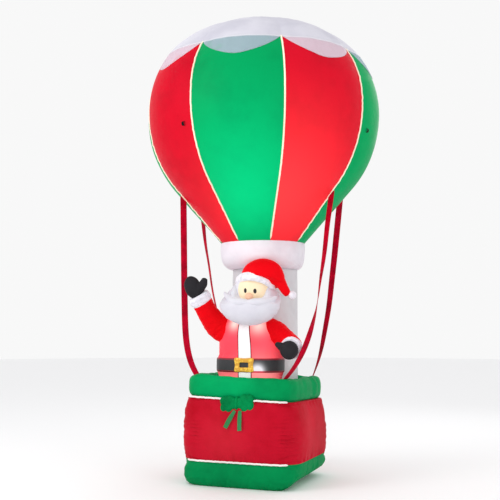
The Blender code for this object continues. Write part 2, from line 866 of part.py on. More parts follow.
def build_arms(anchor, coat, column):
    """The raised waving arm and the lowered arm held towards the rim."""
    raised_cuff = build_arm(
        "raised",
        anchor,
        (
            (-0.10, 0.00, 0.475, 0.085),
            (-0.20, -0.02, 0.515, 0.104),
            (-0.265, -0.065, 0.585, 0.098),
            (-0.312, -0.125, 0.678, 0.084),
            (-0.334, -0.150, 0.740, 0.078),
        ),
        (
            (-0.322, -0.142, 0.720, 0.070),
            (-0.328, -0.149, 0.732, 0.087),
            (-0.346, -0.168, 0.770, 0.089),
            (-0.362, -0.184, 0.798, 0.086),
            (-0.366, -0.188, 0.806, 0.066),
        ),
        coat,
        column,
    )
    lowered_cuff = build_arm(
        "lowered",
        anchor,
        (
            (0.10, 0.00, 0.505, 0.080),
            (0.20, 0.00, 0.520, 0.098),
            (0.29, -0.01, 0.470, 0.096),
            (0.360, -0.04, 0.420, 0.088),
            (0.378, -0.09, 0.405, 0.078),
        ),
        (
            (0.374, -0.082, 0.407, 0.070),
            (0.376, -0.088, 0.405, 0.083),
            (0.382, -0.120, 0.398, 0.085),
            (0.386, -0.145, 0.392, 0.082),
            (0.387, -0.152, 0.391, 0.062),
        ),
        coat,
        column,
    )
    build_mitten(
        "raised_mitten",
        anchor,
        ((-0.402, -0.212, 0.866), (0.068, 0.050, 0.092), math.radians(-24.0), math.radians(8.0)),
        (
            (-0.371, -0.210, 0.813, 0.030),
            (-0.338, -0.218, 0.858, 0.033),
            (-0.306, -0.220, 0.903, 0.030),
            (-0.297, -0.220, 0.938, 0.014),
        ),
        raised_cuff,
    )
    build_mitten(
        "lowered_mitten",
        anchor,
        ((0.392, -0.200, 0.386), (0.070, 0.066, 0.072), 0.0, 0.0),
        (
            (0.380, -0.195, 0.395, 0.034),
            (0.330, -0.205, 0.420, 0.030),
            (0.285, -0.210, 0.437, 0.012),
        ),
        lowered_cuff,
        coat,
    )


def build_head(anchor, coat, placket, column, skirt):
    """Head, beard, moustache, nose, hat, hat band and pompom, in the head's own frame."""
    centre = figure_point(0.066, -0.112, 0.838)
    frame = add_anchor("head_frame", anchor, centre, HEAD_TURN)
    head_halves = [drawn(value) for value in (0.150, 0.128, 0.152)]
    head_mesh = ellipsoid("head", (0, 0, 0), head_halves, around=14, up=9)
    head = add_piece("head", head_mesh, skin_cloth(), frame)
    seat_on(head, coat, column, skirt, whole=True)

    nose_halves = [drawn(value) for value in (0.029, 0.028, 0.025)]
    nose_centre = [drawn(value) for value in (0.004, -0.132, -0.046)]
    nose_mesh = ellipsoid("nose", nose_centre, nose_halves, around=8, up=6)
    nose = add_piece("nose", nose_mesh, nose_cloth(), frame)
    seat_on(nose, head, whole=True)

    moustache = add_piece("moustache", moustache_lobe("moustache", -1), white_cloth(), frame)
    other_lobe = moustache_lobe("moustache_right", 1)
    combine(moustache, add_tool("moustache_right", other_lobe, frame.matrix_world), "UNION")
    seat_on(moustache, head, nose, whole=True)

    band = add_piece("hat_band", band_mesh(), white_cloth(), frame)
    seat_on(band, head, column, whole=True)

    beard = add_piece("beard", beard_mesh(), white_cloth(), frame)
    seat_on(beard, coat, head, band, column, whole=True)
    seat_on(beard, placket)
    for side in (-1, 1):
        clear_of(beard, moustache_lobe(f"moustache_{side}", side), frame.matrix_world)

    hat = add_piece("hat", hat_crown_mesh(), red_cloth(), frame)
    combine(hat, add_tool("hat_floor", hat_floor_mesh(), frame.matrix_world), "DIFFERENCE")
    combine(hat, add_tool("hat_tail", hat_tail_mesh(), frame.matrix_world), "UNION")
    seat_on(hat, head, skirt, column, band, whole=True)

    pompom_centre = [drawn(value) for value in (0.305, -0.028, -0.040)]
    ball = [drawn(0.034)] * 3
    pompom_mesh = ellipsoid("pompom", pompom_centre, ball, around=8, up=6)
    pompom = add_piece("pompom", pompom_mesh, white_cloth(), frame)
    seat_on(pompom, hat, column)


def beard_mesh():
    """A wide round beard, full below and drawn back beside the cheeks."""
    mesh = ellipsoid("beard", (0, 0, 0), (1, 1, 1), around=16, up=8)
    for point in mesh.vertices:
        place = point.co.copy()
        forward = 0.125 if place.y < 0.0 else 0.035
        back = max(0.0, min(1.0, (place.z + 0.02) / 0.42))
        point.co.x = drawn(place.x * 0.236 - 0.012)
        point.co.y = drawn(place.y * forward - 0.045 + 0.105 * back)
        point.co.z = drawn(place.z * 0.168 - 0.104)
    return mesh


def moustache_lobe(name, side):
    """One drooping half of the moustache with its tip turned up."""
    rise = 0.024 if side < 0 else -0.012
    points = (
        (-0.022 * side, -0.142, -0.090, 0.016),
        (0.030 * side, -0.148, -0.088, 0.030),
        (0.095 * side, -0.140, -0.088, 0.032),
        (0.155 * side, -0.105, -0.078 + rise * 0.4, 0.026),
        (0.205 * side, -0.060, -0.040 + rise, 0.009),
    )
    stations = [[drawn(value) for value in point] for point in points]
    return tube(name, stations, 2, 2)


def band_mesh():
    """White band of the hat, tipped back and down to the side of the tail."""
    shape = bmesh.new()
    around = 18
    sides = 6
    bmesh.ops.create_grid(shape, x_segments=around, y_segments=sides, size=0.5)
    for point in shape.verts:
        angle = 2.0 * math.pi * (point.co.x + 0.5)
        bend = 2.0 * math.pi * (point.co.y + 0.5)
        reach = drawn(0.128 + 0.026 * math.cos(bend))
        rise = drawn(0.036 * math.sin(bend))
        placed = Vector((reach * math.cos(angle), reach * math.sin(angle), rise))
        point.co = band_middle() + band_tip() @ placed
    return finish_mesh("hat_band", shape)


def band_tip():
    """Turn of the hat band: back, and down to the side of the tail."""
    return Matrix.Rotation(math.radians(9.0), 3, "Y") @ Matrix.Rotation(math.radians(-19.0), 3, "X")


def band_middle():
    """Centre of the hat band from the head's centre."""
    return Vector((drawn(0.028), drawn(-0.006), drawn(0.066)))


def hat_floor_mesh():
    """Block below the band's middle plane, where the hat's crown ends."""
    reach = drawn(0.3)
    mesh = block("hat_floor", (-reach, -reach, -reach), (reach, reach, 0.0))
    for point in mesh.vertices:
        point.co = band_middle() + band_tip() @ point.co
    return mesh


def hat_crown_mesh():
    """Round crown of the hat, wider than the head on the side of the tail."""
    centre = [drawn(value) for value in (0.094, -0.040, 0.090)]
    halves = [drawn(value) for value in (0.168, 0.106, 0.152)]
    return ellipsoid("hat", centre, halves, around=14, up=10)


def hat_tail_mesh():
    """Soft tail of the hat, drooping beside the face."""
    points = (
        (0.165, -0.030, 0.120, 0.052),
        (0.215, -0.034, 0.075, 0.046),
        (0.242, -0.034, 0.020, 0.037),
        (0.262, -0.030, -0.030, 0.030),
        (0.270, -0.030, -0.046, 0.018),
    )
    stations = [[drawn(value) for value in point] for point in points]
    return tube("hat_tail", stations, 2, 2)


def build_model():
    """Build every piece, the ones that carry others first."""
    anchor = add_anchor("inflatable")
    balloon = build_balloon(anchor)
    build_cap(anchor, balloon)
    skirt = build_skirt(anchor)
    base = build_base(anchor)
    body = build_body(anchor)
    rim = build_rim(anchor)
    column = build_column(anchor)

    def upper_seam(x, y):
        return panel_height(x, y) + PIPING_RADIUS * 0.5

    upper = build_piping("rim_piping", anchor, upper_seam, body, rim)
    build_piping("base_piping", anchor, lambda x, y: BASE_HEIGHT, body, base)
    for name in strap_shares():
        build_strap(name, anchor, balloon, rim)
    for index, angle in enumerate(TAB_TURNS):
        build_tab(f"tether_tab_{index + 1}", anchor, angle, balloon)
        build_tab(f"tether_tab_{index + 3}", anchor, angle + math.pi, balloon)
    bow = build_bow(anchor, body, rim, upper)
    build_bow_tail("bow_tail_left", anchor, -1, body, bow)
    build_bow_tail("bow_tail_right", anchor, 1, body, bow)
    coat = build_coat(anchor, column)
    placket = build_coat_trim(anchor, coat, column)
    build_arms(anchor, coat, column)
    build_head(anchor, coat, placket, column, skirt)


clear_scene()
PARTS = new_collection(COLLECTION_NAME)
CUTTERS = new_collection(CUTTER_COLLECTION_NAME)
build_model()
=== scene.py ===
"""Looks of a tall garden inflatable: a bearded man waves from the basket of a hot air balloon.

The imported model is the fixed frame. A detailed sewn piece stands in for every solid of it.
"""

import logging
import math
from dataclasses import dataclass, field
from enum import Enum
from typing import Any, Callable, Optional, Sequence

import bmesh
import bpy
import numpy as np
from mathutils import Matrix, Vector, noise


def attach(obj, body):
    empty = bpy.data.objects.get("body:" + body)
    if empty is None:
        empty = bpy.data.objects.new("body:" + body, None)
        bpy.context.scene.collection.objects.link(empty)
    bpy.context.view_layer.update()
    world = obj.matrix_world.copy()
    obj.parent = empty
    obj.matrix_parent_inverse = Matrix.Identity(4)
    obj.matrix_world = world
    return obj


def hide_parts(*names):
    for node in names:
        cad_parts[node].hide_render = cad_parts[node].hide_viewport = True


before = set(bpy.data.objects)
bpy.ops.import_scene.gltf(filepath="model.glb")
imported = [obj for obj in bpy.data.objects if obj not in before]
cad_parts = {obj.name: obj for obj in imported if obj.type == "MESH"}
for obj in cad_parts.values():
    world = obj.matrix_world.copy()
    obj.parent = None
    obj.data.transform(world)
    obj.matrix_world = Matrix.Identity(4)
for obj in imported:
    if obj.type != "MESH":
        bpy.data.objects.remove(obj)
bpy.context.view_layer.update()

LOG = logging.getLogger("inflatable")
TURN = 2.0 * math.pi
MERGE = 0.00001  # points nearer than this are one
CLEAR = 0.0006  # room left between a chamber and the panel under it
END_REACH = 0.72  # share of its radius that a tube has next to its end
DEFLATION = 0.8  # share of its greatest move by which a blown skin starts smaller
EASE_ROUNDS = 5  # rows of points over which that eases in from the seams
LAST_FRAME = 20  # of the cloth simulations
PRESSURE = 4.0  # of the air in them
STIFFNESS = 12.0  # of their threads

Colour = tuple[float, float, float]
Point = tuple[float, float, float]
Place = Callable[[float, float], Vector]
Row = Callable[[float, int], Vector]
UNLIT: Colour = (0.0, 0.0, 0.0)


class Slot(Enum):
    """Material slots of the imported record."""

    GREEN = "green_cloth"
    RED = "red_cloth"
    CRIMSON = "crimson_cloth"
    WHITE = "white_cloth"
    WEBBING = "red_webbing"
    BLACK = "black_cloth"
    GOLD = "gold_cloth"
    SKIN = "skin_cloth"
    NOSE = "nose_cloth"


class Side(Enum):
    """Sides of the object as the man in the basket faces the viewer."""

    LEFT = -1
    RIGHT = 1


# Shader kit


def operator(operation: str, swapped: bool = False) -> Callable[["Sock", Any], "Sock"]:
    """Python operator that adds a Math node, its values swapped for a reflected form.

    Args:
        operation: Math operation.
        swapped: True for a reflected form.

    Returns:
        The operator as a method.
    """

    def act(value: "Sock", other: Any) -> "Sock":
        """The operator's result."""
        pair = (other, value) if swapped else (value, other)
        return value.kit.math(operation, *pair)

    return act


class Sock:
    """A shader value that Python's operators work on."""

    def __init__(self, kit: "Kit", end: bpy.types.NodeSocket) -> None:
        self.kit = kit
        self.end = end

    __add__ = operator("ADD")
    __radd__ = operator("ADD", swapped=True)
    __sub__ = operator("SUBTRACT")
    __rsub__ = operator("SUBTRACT", swapped=True)
    __mul__ = operator("MULTIPLY")
    __rmul__ = operator("MULTIPLY", swapped=True)
    __truediv__ = operator("DIVIDE")

    def size(self) -> "Sock":
        """Value without its sign."""
        return self.kit.math("ABSOLUTE", self)

    def held(self) -> "Sock":
        """Value kept from 0 to 1."""
        return self.kit.node("ShaderNodeClamp", {"Value": self, "Min": 0.0, "Max": 1.0})


class Kit:
    """Builds one material's nodes."""

    def __init__(self, name: str) -> None:
        """Start a material with its own shader."""
        self.material = bpy.data.materials.new(name)
        self.material.use_nodes = True
        self.tree = self.material.node_tree
        self.shader = self.tree.nodes["Principled BSDF"]

    def node(self, kind: str, values: dict, out: Any = 0, **settings: Any) -> Sock:
        """Add any node.

        Args:
            kind: The node's type.
            values: Values or links of its sockets.
            out: Name or number of the output to read.
            settings: Its own settings, which are set first.

        Returns:
            The output as a value for expressions.
        """
        made = self.tree.nodes.new(kind)
        for key, value in settings.items():
            setattr(made, key, value)
        for key, value in values.items():
            self.feed(made.inputs[key], value)
        return Sock(self, made.outputs[out])

    def feed(self, socket: bpy.types.NodeSocket, value: Any) -> None:
        """Link a value to a socket, or set it there.

        Args:
            socket: Input socket.
            value: Value, colour or shader value.
        """
        if isinstance(value, Sock):
            self.tree.links.new(value.end, socket)
        elif isinstance(value, tuple) and len(value) == 3 and socket.type == "RGBA":
            socket.default_value = (*value, 1.0)
        else:
            socket.default_value = value

    def finish(self, base: Any, rough: Any, height: Sock, depth: float, glow: Any = None,
               strength: float = 1.0, **inputs: Any) -> None:
        """Feed the shader.

        Args:
            base: The cloth's colour.
            rough: Its roughness.
            height: A height that tilts the surface.
            depth: Metres that the height stands for at 1.
            glow: Colour of the light that comes through it.
            strength: Strength of that light.
            inputs: More inputs of the shader, with _ for each space in a name.
        """
        fed = {"Base Color": base, "Roughness": rough}
        if glow is not None:
            fed.update({"Emission Color": glow, "Emission Strength": strength})
        fed.update({key.replace("_", " "): value for key, value in inputs.items()})
        fed["Normal"] = self.node("ShaderNodeBump", {"Height": height, "Distance": depth})
        for key, value in fed.items():
            self.feed(self.shader.inputs[key], value)

    def math(self, operation: str, first: Any, second: Any = 0.0) -> Sock:
        """One Math node."""
        return self.node("ShaderNodeMath", {0: first, 1: second}, operation=operation)

    def place(self, system: str = "Object") -> Sock:
        """Object coordinates, or those of another system."""
        return self.node("ShaderNodeTexCoord", {}, system)

    def parts(self, vector: Sock) -> list[Sock]:
        """The three numbers of a vector."""
        split = self.node("ShaderNodeSeparateXYZ", {0: vector})
        return [Sock(self, end) for end in split.end.node.outputs]

    def scaled(self, vector: Sock, scale: Point) -> Sock:
        """A vector stretched along each axis."""
        return self.node("ShaderNodeVectorMath", {0: vector, 1: scale}, operation="MULTIPLY")

    def fall(self, place: Sock, spot: Point, reach: float) -> Sock:
        """Light that falls off round a spot.

        Args:
            place: Coordinates.
            spot: Middle of the light.
            reach: Distance at which it has faded to a third.

        Returns:
            The share of light.
        """
        spots = {0: place, 1: spot}
        away = self.node("ShaderNodeVectorMath", spots, "Value", operation="DISTANCE") / reach
        return self.math("EXPONENT", away * away * -1.0)

    def cloud(self, vector: Sock, scale: float, detail: float = 3.0) -> Sock:
        """Soft noise from 0 to 1."""
        return self.node("ShaderNodeTexNoise", {"Vector": vector, "Scale": scale, "Detail": detail})

    def rise(self, value: Sock, low: float, high: float) -> Sock:
        """Smooth step from 0 at low to 1 at high."""
        values = {"Value": value, "From Min": low, "From Max": high}
        return self.node("ShaderNodeMapRange", values, interpolation_type="SMOOTHSTEP")

    def mix(self, first: Any, second: Any, share: Any) -> Sock:
        """Colour between two colours."""
        return self.node("ShaderNodeMix", {0: share, 6: first, 7: second}, 2, data_type="RGBA")

    def lit(self, colour: Any, share: Sock) -> Sock:
        """A colour made brighter or darker by a value."""
        return self.mix(UNLIT, colour, share)


@dataclass(frozen=True)
class Finish:
    """Finish of a piece, made as a material on its first use."""

    name: str

    def material(self) -> bpy.types.Material:
        """The finished material."""
        if self.name not in bpy.data.materials:
            kit = Kit(self.name)
            self.dress(kit, kit.place())
        return bpy.data.materials[self.name]

    def dress(self, kit: Kit, place: Sock) -> None:
        """Lay the finish's nodes.

        Args:
            kit: The material's kit.
            place: Object coordinates.
        """
        raise NotImplementedError


@dataclass(frozen=True)
class Lamp:
    """Light painted round a spot of the cloth: a lamp inside seen as light that comes through the
    cloth near it, or on the basket a painted highlight.
    """

    at: Point
    reach: float
    strength: float


@dataclass(frozen=True)
class Taffeta(Finish):
    """Coated nylon of a blown-up chamber: fine weave, soft creases, tone that drifts."""

    colour: Colour
    shade: Colour
    glow: Colour = (1.0, 1.0, 1.0)
    lamps: tuple[Lamp, ...] = ()
    base_glow: float = 0.0
    roughness: float = 0.46

    def weave(self, kit: Kit, place: Sock) -> Sock:
        """Threads of the cloth and soft creases, as one height.

        Args:
            kit: The material's kit.
            place: Object coordinates.

        Returns:
            The height.
        """
        x, y, z = kit.parts(place)
        warp = kit.math("SINE", z * 2600.0)
        weft = kit.math("SINE", kit.math("ARCTAN2", y, x) * 1900.0)
        soft = kit.cloud(kit.scaled(place, (1.0, 1.0, 1.6)), 9.0, 4.0)
        return soft * 0.6 + kit.cloud(place, 60.0) * 0.10 + warp * weft * 0.012

    def dress(self, kit: Kit, place: Sock) -> None:
        """Lay the finish's nodes."""
        drift = kit.cloud(place, 2.2, 2.0) * 0.65 + kit.cloud(place, 11.0) * 0.35
        colour = kit.mix(self.shade, self.colour, kit.rise(drift, 0.30, 0.62))
        rough = kit.cloud(place, 5.0, 2.0) * 0.16 + (self.roughness - 0.08)
        glow = None
        if self.lamps or self.base_glow > 0.0:
            light = kit.cloud(place, 3.0, 2.0) * (0.3 * self.base_glow) + 0.85 * self.base_glow
            for lamp in self.lamps:
                light = light + kit.fall(place, lamp.at, lamp.reach) * lamp.strength
            glow = kit.lit(self.glow, light)
        kit.finish(colour, rough, self.weave(kit, place), 0.006, glow, Specular_IOR_Level=0.02)


@dataclass(frozen=True)
class CapCloth(Finish):
    """Thin white sheet of the snow cap: opaque on top, see-through in its scallops, which are
    painted pinkish over red gores and darker bluish over green ones as light and shade from
    beneath.
    """

    name: str = "cap_sheet_cloth"
    seam_height: float = 3.318
    gore_turn: float = math.radians(8.0)

    def dress(self, kit: Kit, place: Sock) -> None:
        """Lay the finish's nodes."""
        x, y, z = kit.parts(place)
        top = kit.rise(z, self.seam_height - 0.012, self.seam_height + 0.006)
        drift = kit.cloud(place, 3.0)
        cloth = kit.mix((0.50, 0.49, 0.57), (0.60, 0.59, 0.66), kit.rise(drift, 0.3, 0.65))
        # Painted light and shade from the gore beneath the scallops: pinkish over red gores, darker
        # and bluish over green ones.
        turned = (kit.math("ARCTAN2", y, x) + (math.pi / 2.0 - self.gore_turn)) * 4.0
        gore = kit.rise(kit.math("COSINE", turned), -0.06, 0.06)
        painted_tint_beneath = kit.mix((0.80, 0.66, 0.76), (0.40, 0.52, 0.60), gore)
        stitch = kit.rise((z - self.seam_height).size(), 0.012, 0.003)
        cloth = kit.mix(kit.mix(painted_tint_beneath, cloth, top), (0.84, 0.84, 0.88), stitch * 0.4)
        # The emission is a faint painted glow, a little stronger on the opaque top.
        kit.finish(
            cloth, kit.cloud(place, 8.0) * 0.2 + 0.4,
            kit.cloud(place, 14.0, 4.0) * 0.5 + stitch * 0.6, 0.005,
            kit.lit((0.86, 0.84, 0.95), top * 0.05 + drift * 0.04), Alpha=top * 0.38 + 0.61,
        )


@dataclass(frozen=True)
class Webbing(Finish):
    """Flat woven strap: ribs across its length and a stitched line near each edge."""

    colour: Colour
    rib: float = 0.004
    length: float = 1.44
    stitch: float = 0.012

    def dress(self, kit: Kit, place: Sock) -> None:
        """Lay the finish's nodes."""
        across, share, _ = kit.parts(kit.place("UV"))
        along = share * self.length
        ribs = kit.math("SINE", along * (TURN / self.rib))
        line = kit.rise(((across - 0.5).size() - 0.38).size(), 0.045, 0.015)
        stitches = line * kit.rise(kit.math("SINE", along * (TURN / self.stitch)), -0.2, 0.4)
        wear = kit.cloud(place, 16.0)
        dark = tuple(value * 0.55 for value in self.colour)
        # The ribs also lighten the colour on their crests and darken it between them: painted light
        # and shade of the weave.
        colour = kit.mix(dark, self.colour, kit.rise(wear + ribs * 0.12, 0.25, 0.7))
        light = tuple(min(1.0, value * 1.5 + 0.03) for value in self.colour)
        kit.finish(
            kit.mix(colour, light, stitches * 0.5), wear * 0.2 + 0.5, ribs * 0.5 + stitches, 0.0012,
            Specular_IOR_Level=0.05,
        )


@dataclass(frozen=True)
class CoatCloth(Finish):
    """Red coat cloth lit from inside, palest beside the front trim under the beard."""

    name: str = "coat_cloth_lit"
    middle: float = -0.036

    def dress(self, kit: Kit, place: Sock) -> None:
        """Lay the finish's nodes."""
        x, y, z = kit.parts(place)
        drift = kit.cloud(place, 5.0)
        cloth = kit.mix((0.55, 0.01, 0.03), (0.72, 0.02, 0.05), kit.rise(drift, 0.3, 0.65))
        front = kit.rise(y, -0.16, -0.27)
        side = (x - self.middle).size()
        spot = kit.fall(place, (-0.125, -0.31, 1.222), 0.055)
        spot = spot + kit.fall(place, (0.075, -0.31, 1.215), 0.075) * 0.95
        spot = spot + kit.fall(place, (0.075, -0.31, 0.90), 0.13) * 0.3
        spot = spot + kit.rise(z, 0.862, 0.846) * front * 0.22
        body = kit.rise(side, 0.44, 0.16) * front * 0.50 + 0.04
        glow = kit.mix((0.90, 0.10, 0.13), (1.0, 0.80, 0.70), spot.held())
        kit.finish(
            cloth, drift * 0.2 + 0.4,
            kit.cloud(place, 20.0, 4.0) * 0.5 + kit.cloud(place, 90.0, 2.0) * 0.08, 0.004,
            kit.lit(glow, body + spot * 0.45), Specular_IOR_Level=0.2,
        )


@dataclass(frozen=True)
class BeltCloth(Finish):
    """Black belt with the lamp behind it burning through beside the buckle."""

    name: str = "belt_cloth_lit"
    low: float = 0.852
    high: float = 0.957

    def dress(self, kit: Kit, place: Sock) -> None:
        """Lay the finish's nodes."""
        x, _, z = kit.parts(place)
        rim = kit.rise(z, self.high - 0.014, self.high - 0.006)
        edge = (rim + kit.rise(z, self.low + 0.016, self.low + 0.008)).held()
        wide = kit.rise(x, 0.15, 0.06) * kit.rise(x, 0.0, 0.03) * kit.rise(z, 0.955, 0.88)
        light = kit.fall(place, (0.082, -0.335, 0.862), 0.042) * 1.7 + wide * 0.22
        warm = kit.mix((0.85, 0.85, 0.90), (0.5, 0.02, 0.05), edge)
        kit.finish(
            kit.mix((0.018, 0.018, 0.022), (0.25, 0.004, 0.015), edge),
            kit.cloud(place, 9.0) * 0.2 + 0.35,
            kit.cloud(place, 24.0, 4.0) * 0.4 + edge * 0.3, 0.003, kit.lit(warm, light),
        )


@dataclass(frozen=True)
class BuckleCloth(Finish):
    """Gold satin of the buckle, mottled as a brocade."""

    name: str = "gold_satin"

    def dress(self, kit: Kit, place: Sock) -> None:
        """Lay the finish's nodes."""
        cells = kit.node("ShaderNodeTexVoronoi", {"Vector": place, "Scale": 46.0}, "Distance")
        mottle = kit.rise(cells + kit.cloud(place, 60.0) * 0.3, 0.35, 0.75)
        kit.finish(
            kit.mix((0.78, 0.50, 0.04), (0.62, 0.30, 0.02), mottle), mottle * 0.25 + 0.32,
            mottle, 0.0015, kit.lit((0.9, 0.5, 0.05), mottle * -0.12 + 0.22),
        )


@dataclass(frozen=True)
class FaceCloth(Finish):
    """Cream cloth of the face with two black oval eyes sewn flat, and white hair behind."""

    name: str = "face_cloth"
    eyes: tuple[Point, Point] = ((0.015, -0.42, 1.4715), (0.0885, -0.42, 1.4675))
    middle: tuple[float, float] = (0.030, -0.295)
    turn: float = math.radians(18.0)
    hairline: float = 0.078
    eye_wide: float = 0.0115
    eye_tall: float = 0.0185

    def dress(self, kit: Kit, place: Sock) -> None:
        """Lay the finish's nodes."""
        x, y, z = kit.parts(place)
        drift = kit.cloud(place, 9.0)
        skin = kit.mix((0.80, 0.60, 0.38), (0.90, 0.74, 0.50), kit.rise(drift, 0.3, 0.65))
        ahead = (x - self.middle[0]) * math.sin(self.turn)
        ahead = ahead - (y - self.middle[1]) * math.cos(self.turn)
        bare = kit.rise(ahead, self.hairline - 0.003, self.hairline + 0.003)
        skin = kit.mix((0.68, 0.67, 0.73), skin, bare)
        front = kit.rise(y, -0.30, -0.34)
        dark: Any = 0.0
        for spot in self.eyes:
            wide = (x - spot[0]) / self.eye_wide
            tall = (z - spot[2]) / self.eye_tall
            dark = kit.rise(wide * wide + tall * tall, 1.15, 0.85) * front + dark
        light = kit.mix((0.85, 0.84, 0.92), (0.95, 0.80, 0.55), bare)
        kit.finish(
            kit.mix(skin, (0.008, 0.007, 0.008), dark), drift * 0.2 + 0.4,
            kit.cloud(place, 40.0, 4.0) * 0.3, 0.003, kit.lit(light, (1.0 - dark) * 0.11),
        )


@dataclass(frozen=True)
class Plush(Finish):
    """Short white pile of cuffs, hat band and pompom."""

    colour: Colour
    glow: float

    def dress(self, kit: Kit, place: Sock) -> None:
        """Lay the finish's nodes."""
        pile = kit.cloud(place, 140.0, 4.0)
        tufts = kit.cloud(place, 38.0)
        shade = tuple(value * 0.80 for value in self.colour)
        kit.finish(
            kit.mix(shade, self.colour, kit.rise(tufts, 0.3, 0.6)), pile * 0.2 + 0.7,
            pile * 0.5 + tufts * 0.8, 0.004, self.colour, self.glow,
            Specular_IOR_Level=0.1, Sheen_Weight=0.15,
        )


# Mesh kit


def strip(across: int, along: int, place: Place) -> bmesh.types.BMesh:
    """A flat strip of cloth laid by place, left open for a later wall.

    Args:
        across: Faces across the strip.
        along: Faces from end to end.
        place: Gives a point from its shares across and along the strip.

    Returns:
        The strip.
    """
    shape = bmesh.new()
    shape.loops.layers.uv.new("UVMap")
    bmesh.ops.create_grid(shape, x_segments=across, y_segments=along, size=0.5, calc_uvs=True)
    for point in shape.verts:
        point.co = place(point.co.x + 0.5, point.co.y + 0.5)
    return shape


def rolled(around: int, along: int, place: Place) -> bmesh.types.BMesh:
    """A strip rolled into a skin, closed where its ends are drawn to points or to each other.

    Args:
        around: Faces round the skin.
        along: Faces from end to end.
        place: Gives a point from its shares round and along the skin.

    Returns:
        The skin.
    """
    shape = strip(around, along, place)
    bmesh.ops.remove_doubles(shape, verts=shape.verts, dist=MERGE)
    bmesh.ops.recalc_face_normals(shape, faces=shape.faces)
    return shape


def capped(around: int, along: int, low: Point, high: Point, place: Row) -> bmesh.types.BMesh:
    """A rolled skin drawn to one point at each end.

    Args:
        around: Faces round the skin.
        along: Faces from end to end.
        low: Point of the first end.
        high: Point of the last end.
        place: Gives a point from its share round the skin and the number of its row.

    Returns:
        The closed skin.
    """

    def point(u: float, v: float) -> Vector:
        """Point of the skin.

        Args:
            u: Share of the way round or across.
            v: Share of the way along.

        Returns:
            The point in metres.
        """
        row = round(v * along)
        if row in (0, along):
            return Vector(high if row else low)
        return place(u, row)

    return rolled(around, along, point)


def bell(value: float, width: float, middle: float = 0.0) -> float:
    """1 at a middle, falling to 0 a few widths away from it."""
    return math.exp(-(((value - middle) / width) ** 2))


def ends(share: float, width: float) -> float:
    """1 at both ends of a span, falling to 0 between them."""
    return bell(share, width) + bell(1.0 - share, width)


def clamp(value: float) -> float:
    """Value kept from 0 to 1."""
    return min(1.0, max(0.0, value))


def boxed(bend: float, across: float, up: float) -> tuple[float, float]:
    """Shares from 0 to 1 across and up a rounded box section at an angle round it."""
    return 0.5 + 0.5 * spread(math.cos(bend), across), 0.5 + 0.5 * spread(math.sin(bend), up)


def ring(angle: float, reach: float, height: float, x: float = 0.0, y: float = 0.0) -> Vector:
    """Point at an angle and a reach round an upright axis."""
    return Vector((x + reach * math.cos(angle), y + reach * math.sin(angle), height))


def smoothed(values: np.ndarray, width: int) -> np.ndarray:
    """Row of values, each the mean of an odd number of neighbours."""
    padded = np.pad(values, width // 2, mode="edge")
    return np.convolve(padded, np.ones(width) / float(width), mode="valid")


def ripple(along: float, across: float, spacing: float, seed: float) -> float:
    """Soft noise that changes about every spacing along a seam and slowly across it."""
    return noise.noise(Vector((along / spacing, across / (4.0 * spacing), seed)))


def spread(value: float, power: float) -> float:
    """A sine or cosine drawn towards the corners of a rounded square."""
    return math.copysign(abs(value) ** (2.0 / power), value)


def ball(centre: Point, halves: Point, lean: float = 0.0, roll: float = 0.0, around: int = 48,
         along: int = 32) -> bmesh.types.BMesh:
    """A puffed ball with three half sizes, leaned about Y and rolled about X.

    Args:
        centre: Its middle.
        halves: Half sizes.
        lean: Turn about Y.
        roll: Turn about X, done first.
        around: Faces round it.
        along: Faces from pole to pole.

    Returns:
        The ball.
    """
    turn = Matrix.Rotation(lean, 3, "Y") @ Matrix.Rotation(roll, 3, "X")
    shape = bmesh.new()
    bmesh.ops.create_uvsphere(shape, u_segments=around, v_segments=along, radius=1.0)
    bmesh.ops.scale(shape, vec=halves, verts=shape.verts)
    bmesh.ops.rotate(shape, cent=(0.0, 0.0, 0.0), matrix=turn, verts=shape.verts)
    bmesh.ops.translate(shape, vec=centre, verts=shape.verts)
    return shape


class Run:
    """A smooth run through stations of place and radius, as the frame's tubes have."""

    def __init__(self, stations: Sequence[Sequence[float]]) -> None:
        """Hold the stations and the knots of their curve.

        Args:
            stations: Rows of x, y, z and radius.
        """
        self.points = np.array(stations, dtype=float)
        spans = len(stations) - 2
        self.spans = spans
        self.knots = [0.0, 0.0] + [float(i) for i in range(spans + 1)] + [float(spans)] * 2

    def at(self, share: float) -> np.ndarray:
        """Place and radius at a share of the run.

        Args:
            share: Share of the run, from 0 to 1.

        Returns:
            The x, y, z and radius there.
        """
        where = min(max(share, 0.0), 1.0 - 1e-9) * self.spans
        first = int(where)
        kept = [self.points[first + i].copy() for i in range(3)]
        for level in range(1, 3):
            for i in range(2, level - 1, -1):
                low = self.knots[first + i]
                high = self.knots[first + i + 3 - level]
                part = (where - low) / (high - low) if high > low else 0.0
                kept[i] = (1.0 - part) * kept[i - 1] + part * kept[i]
        return kept[2]


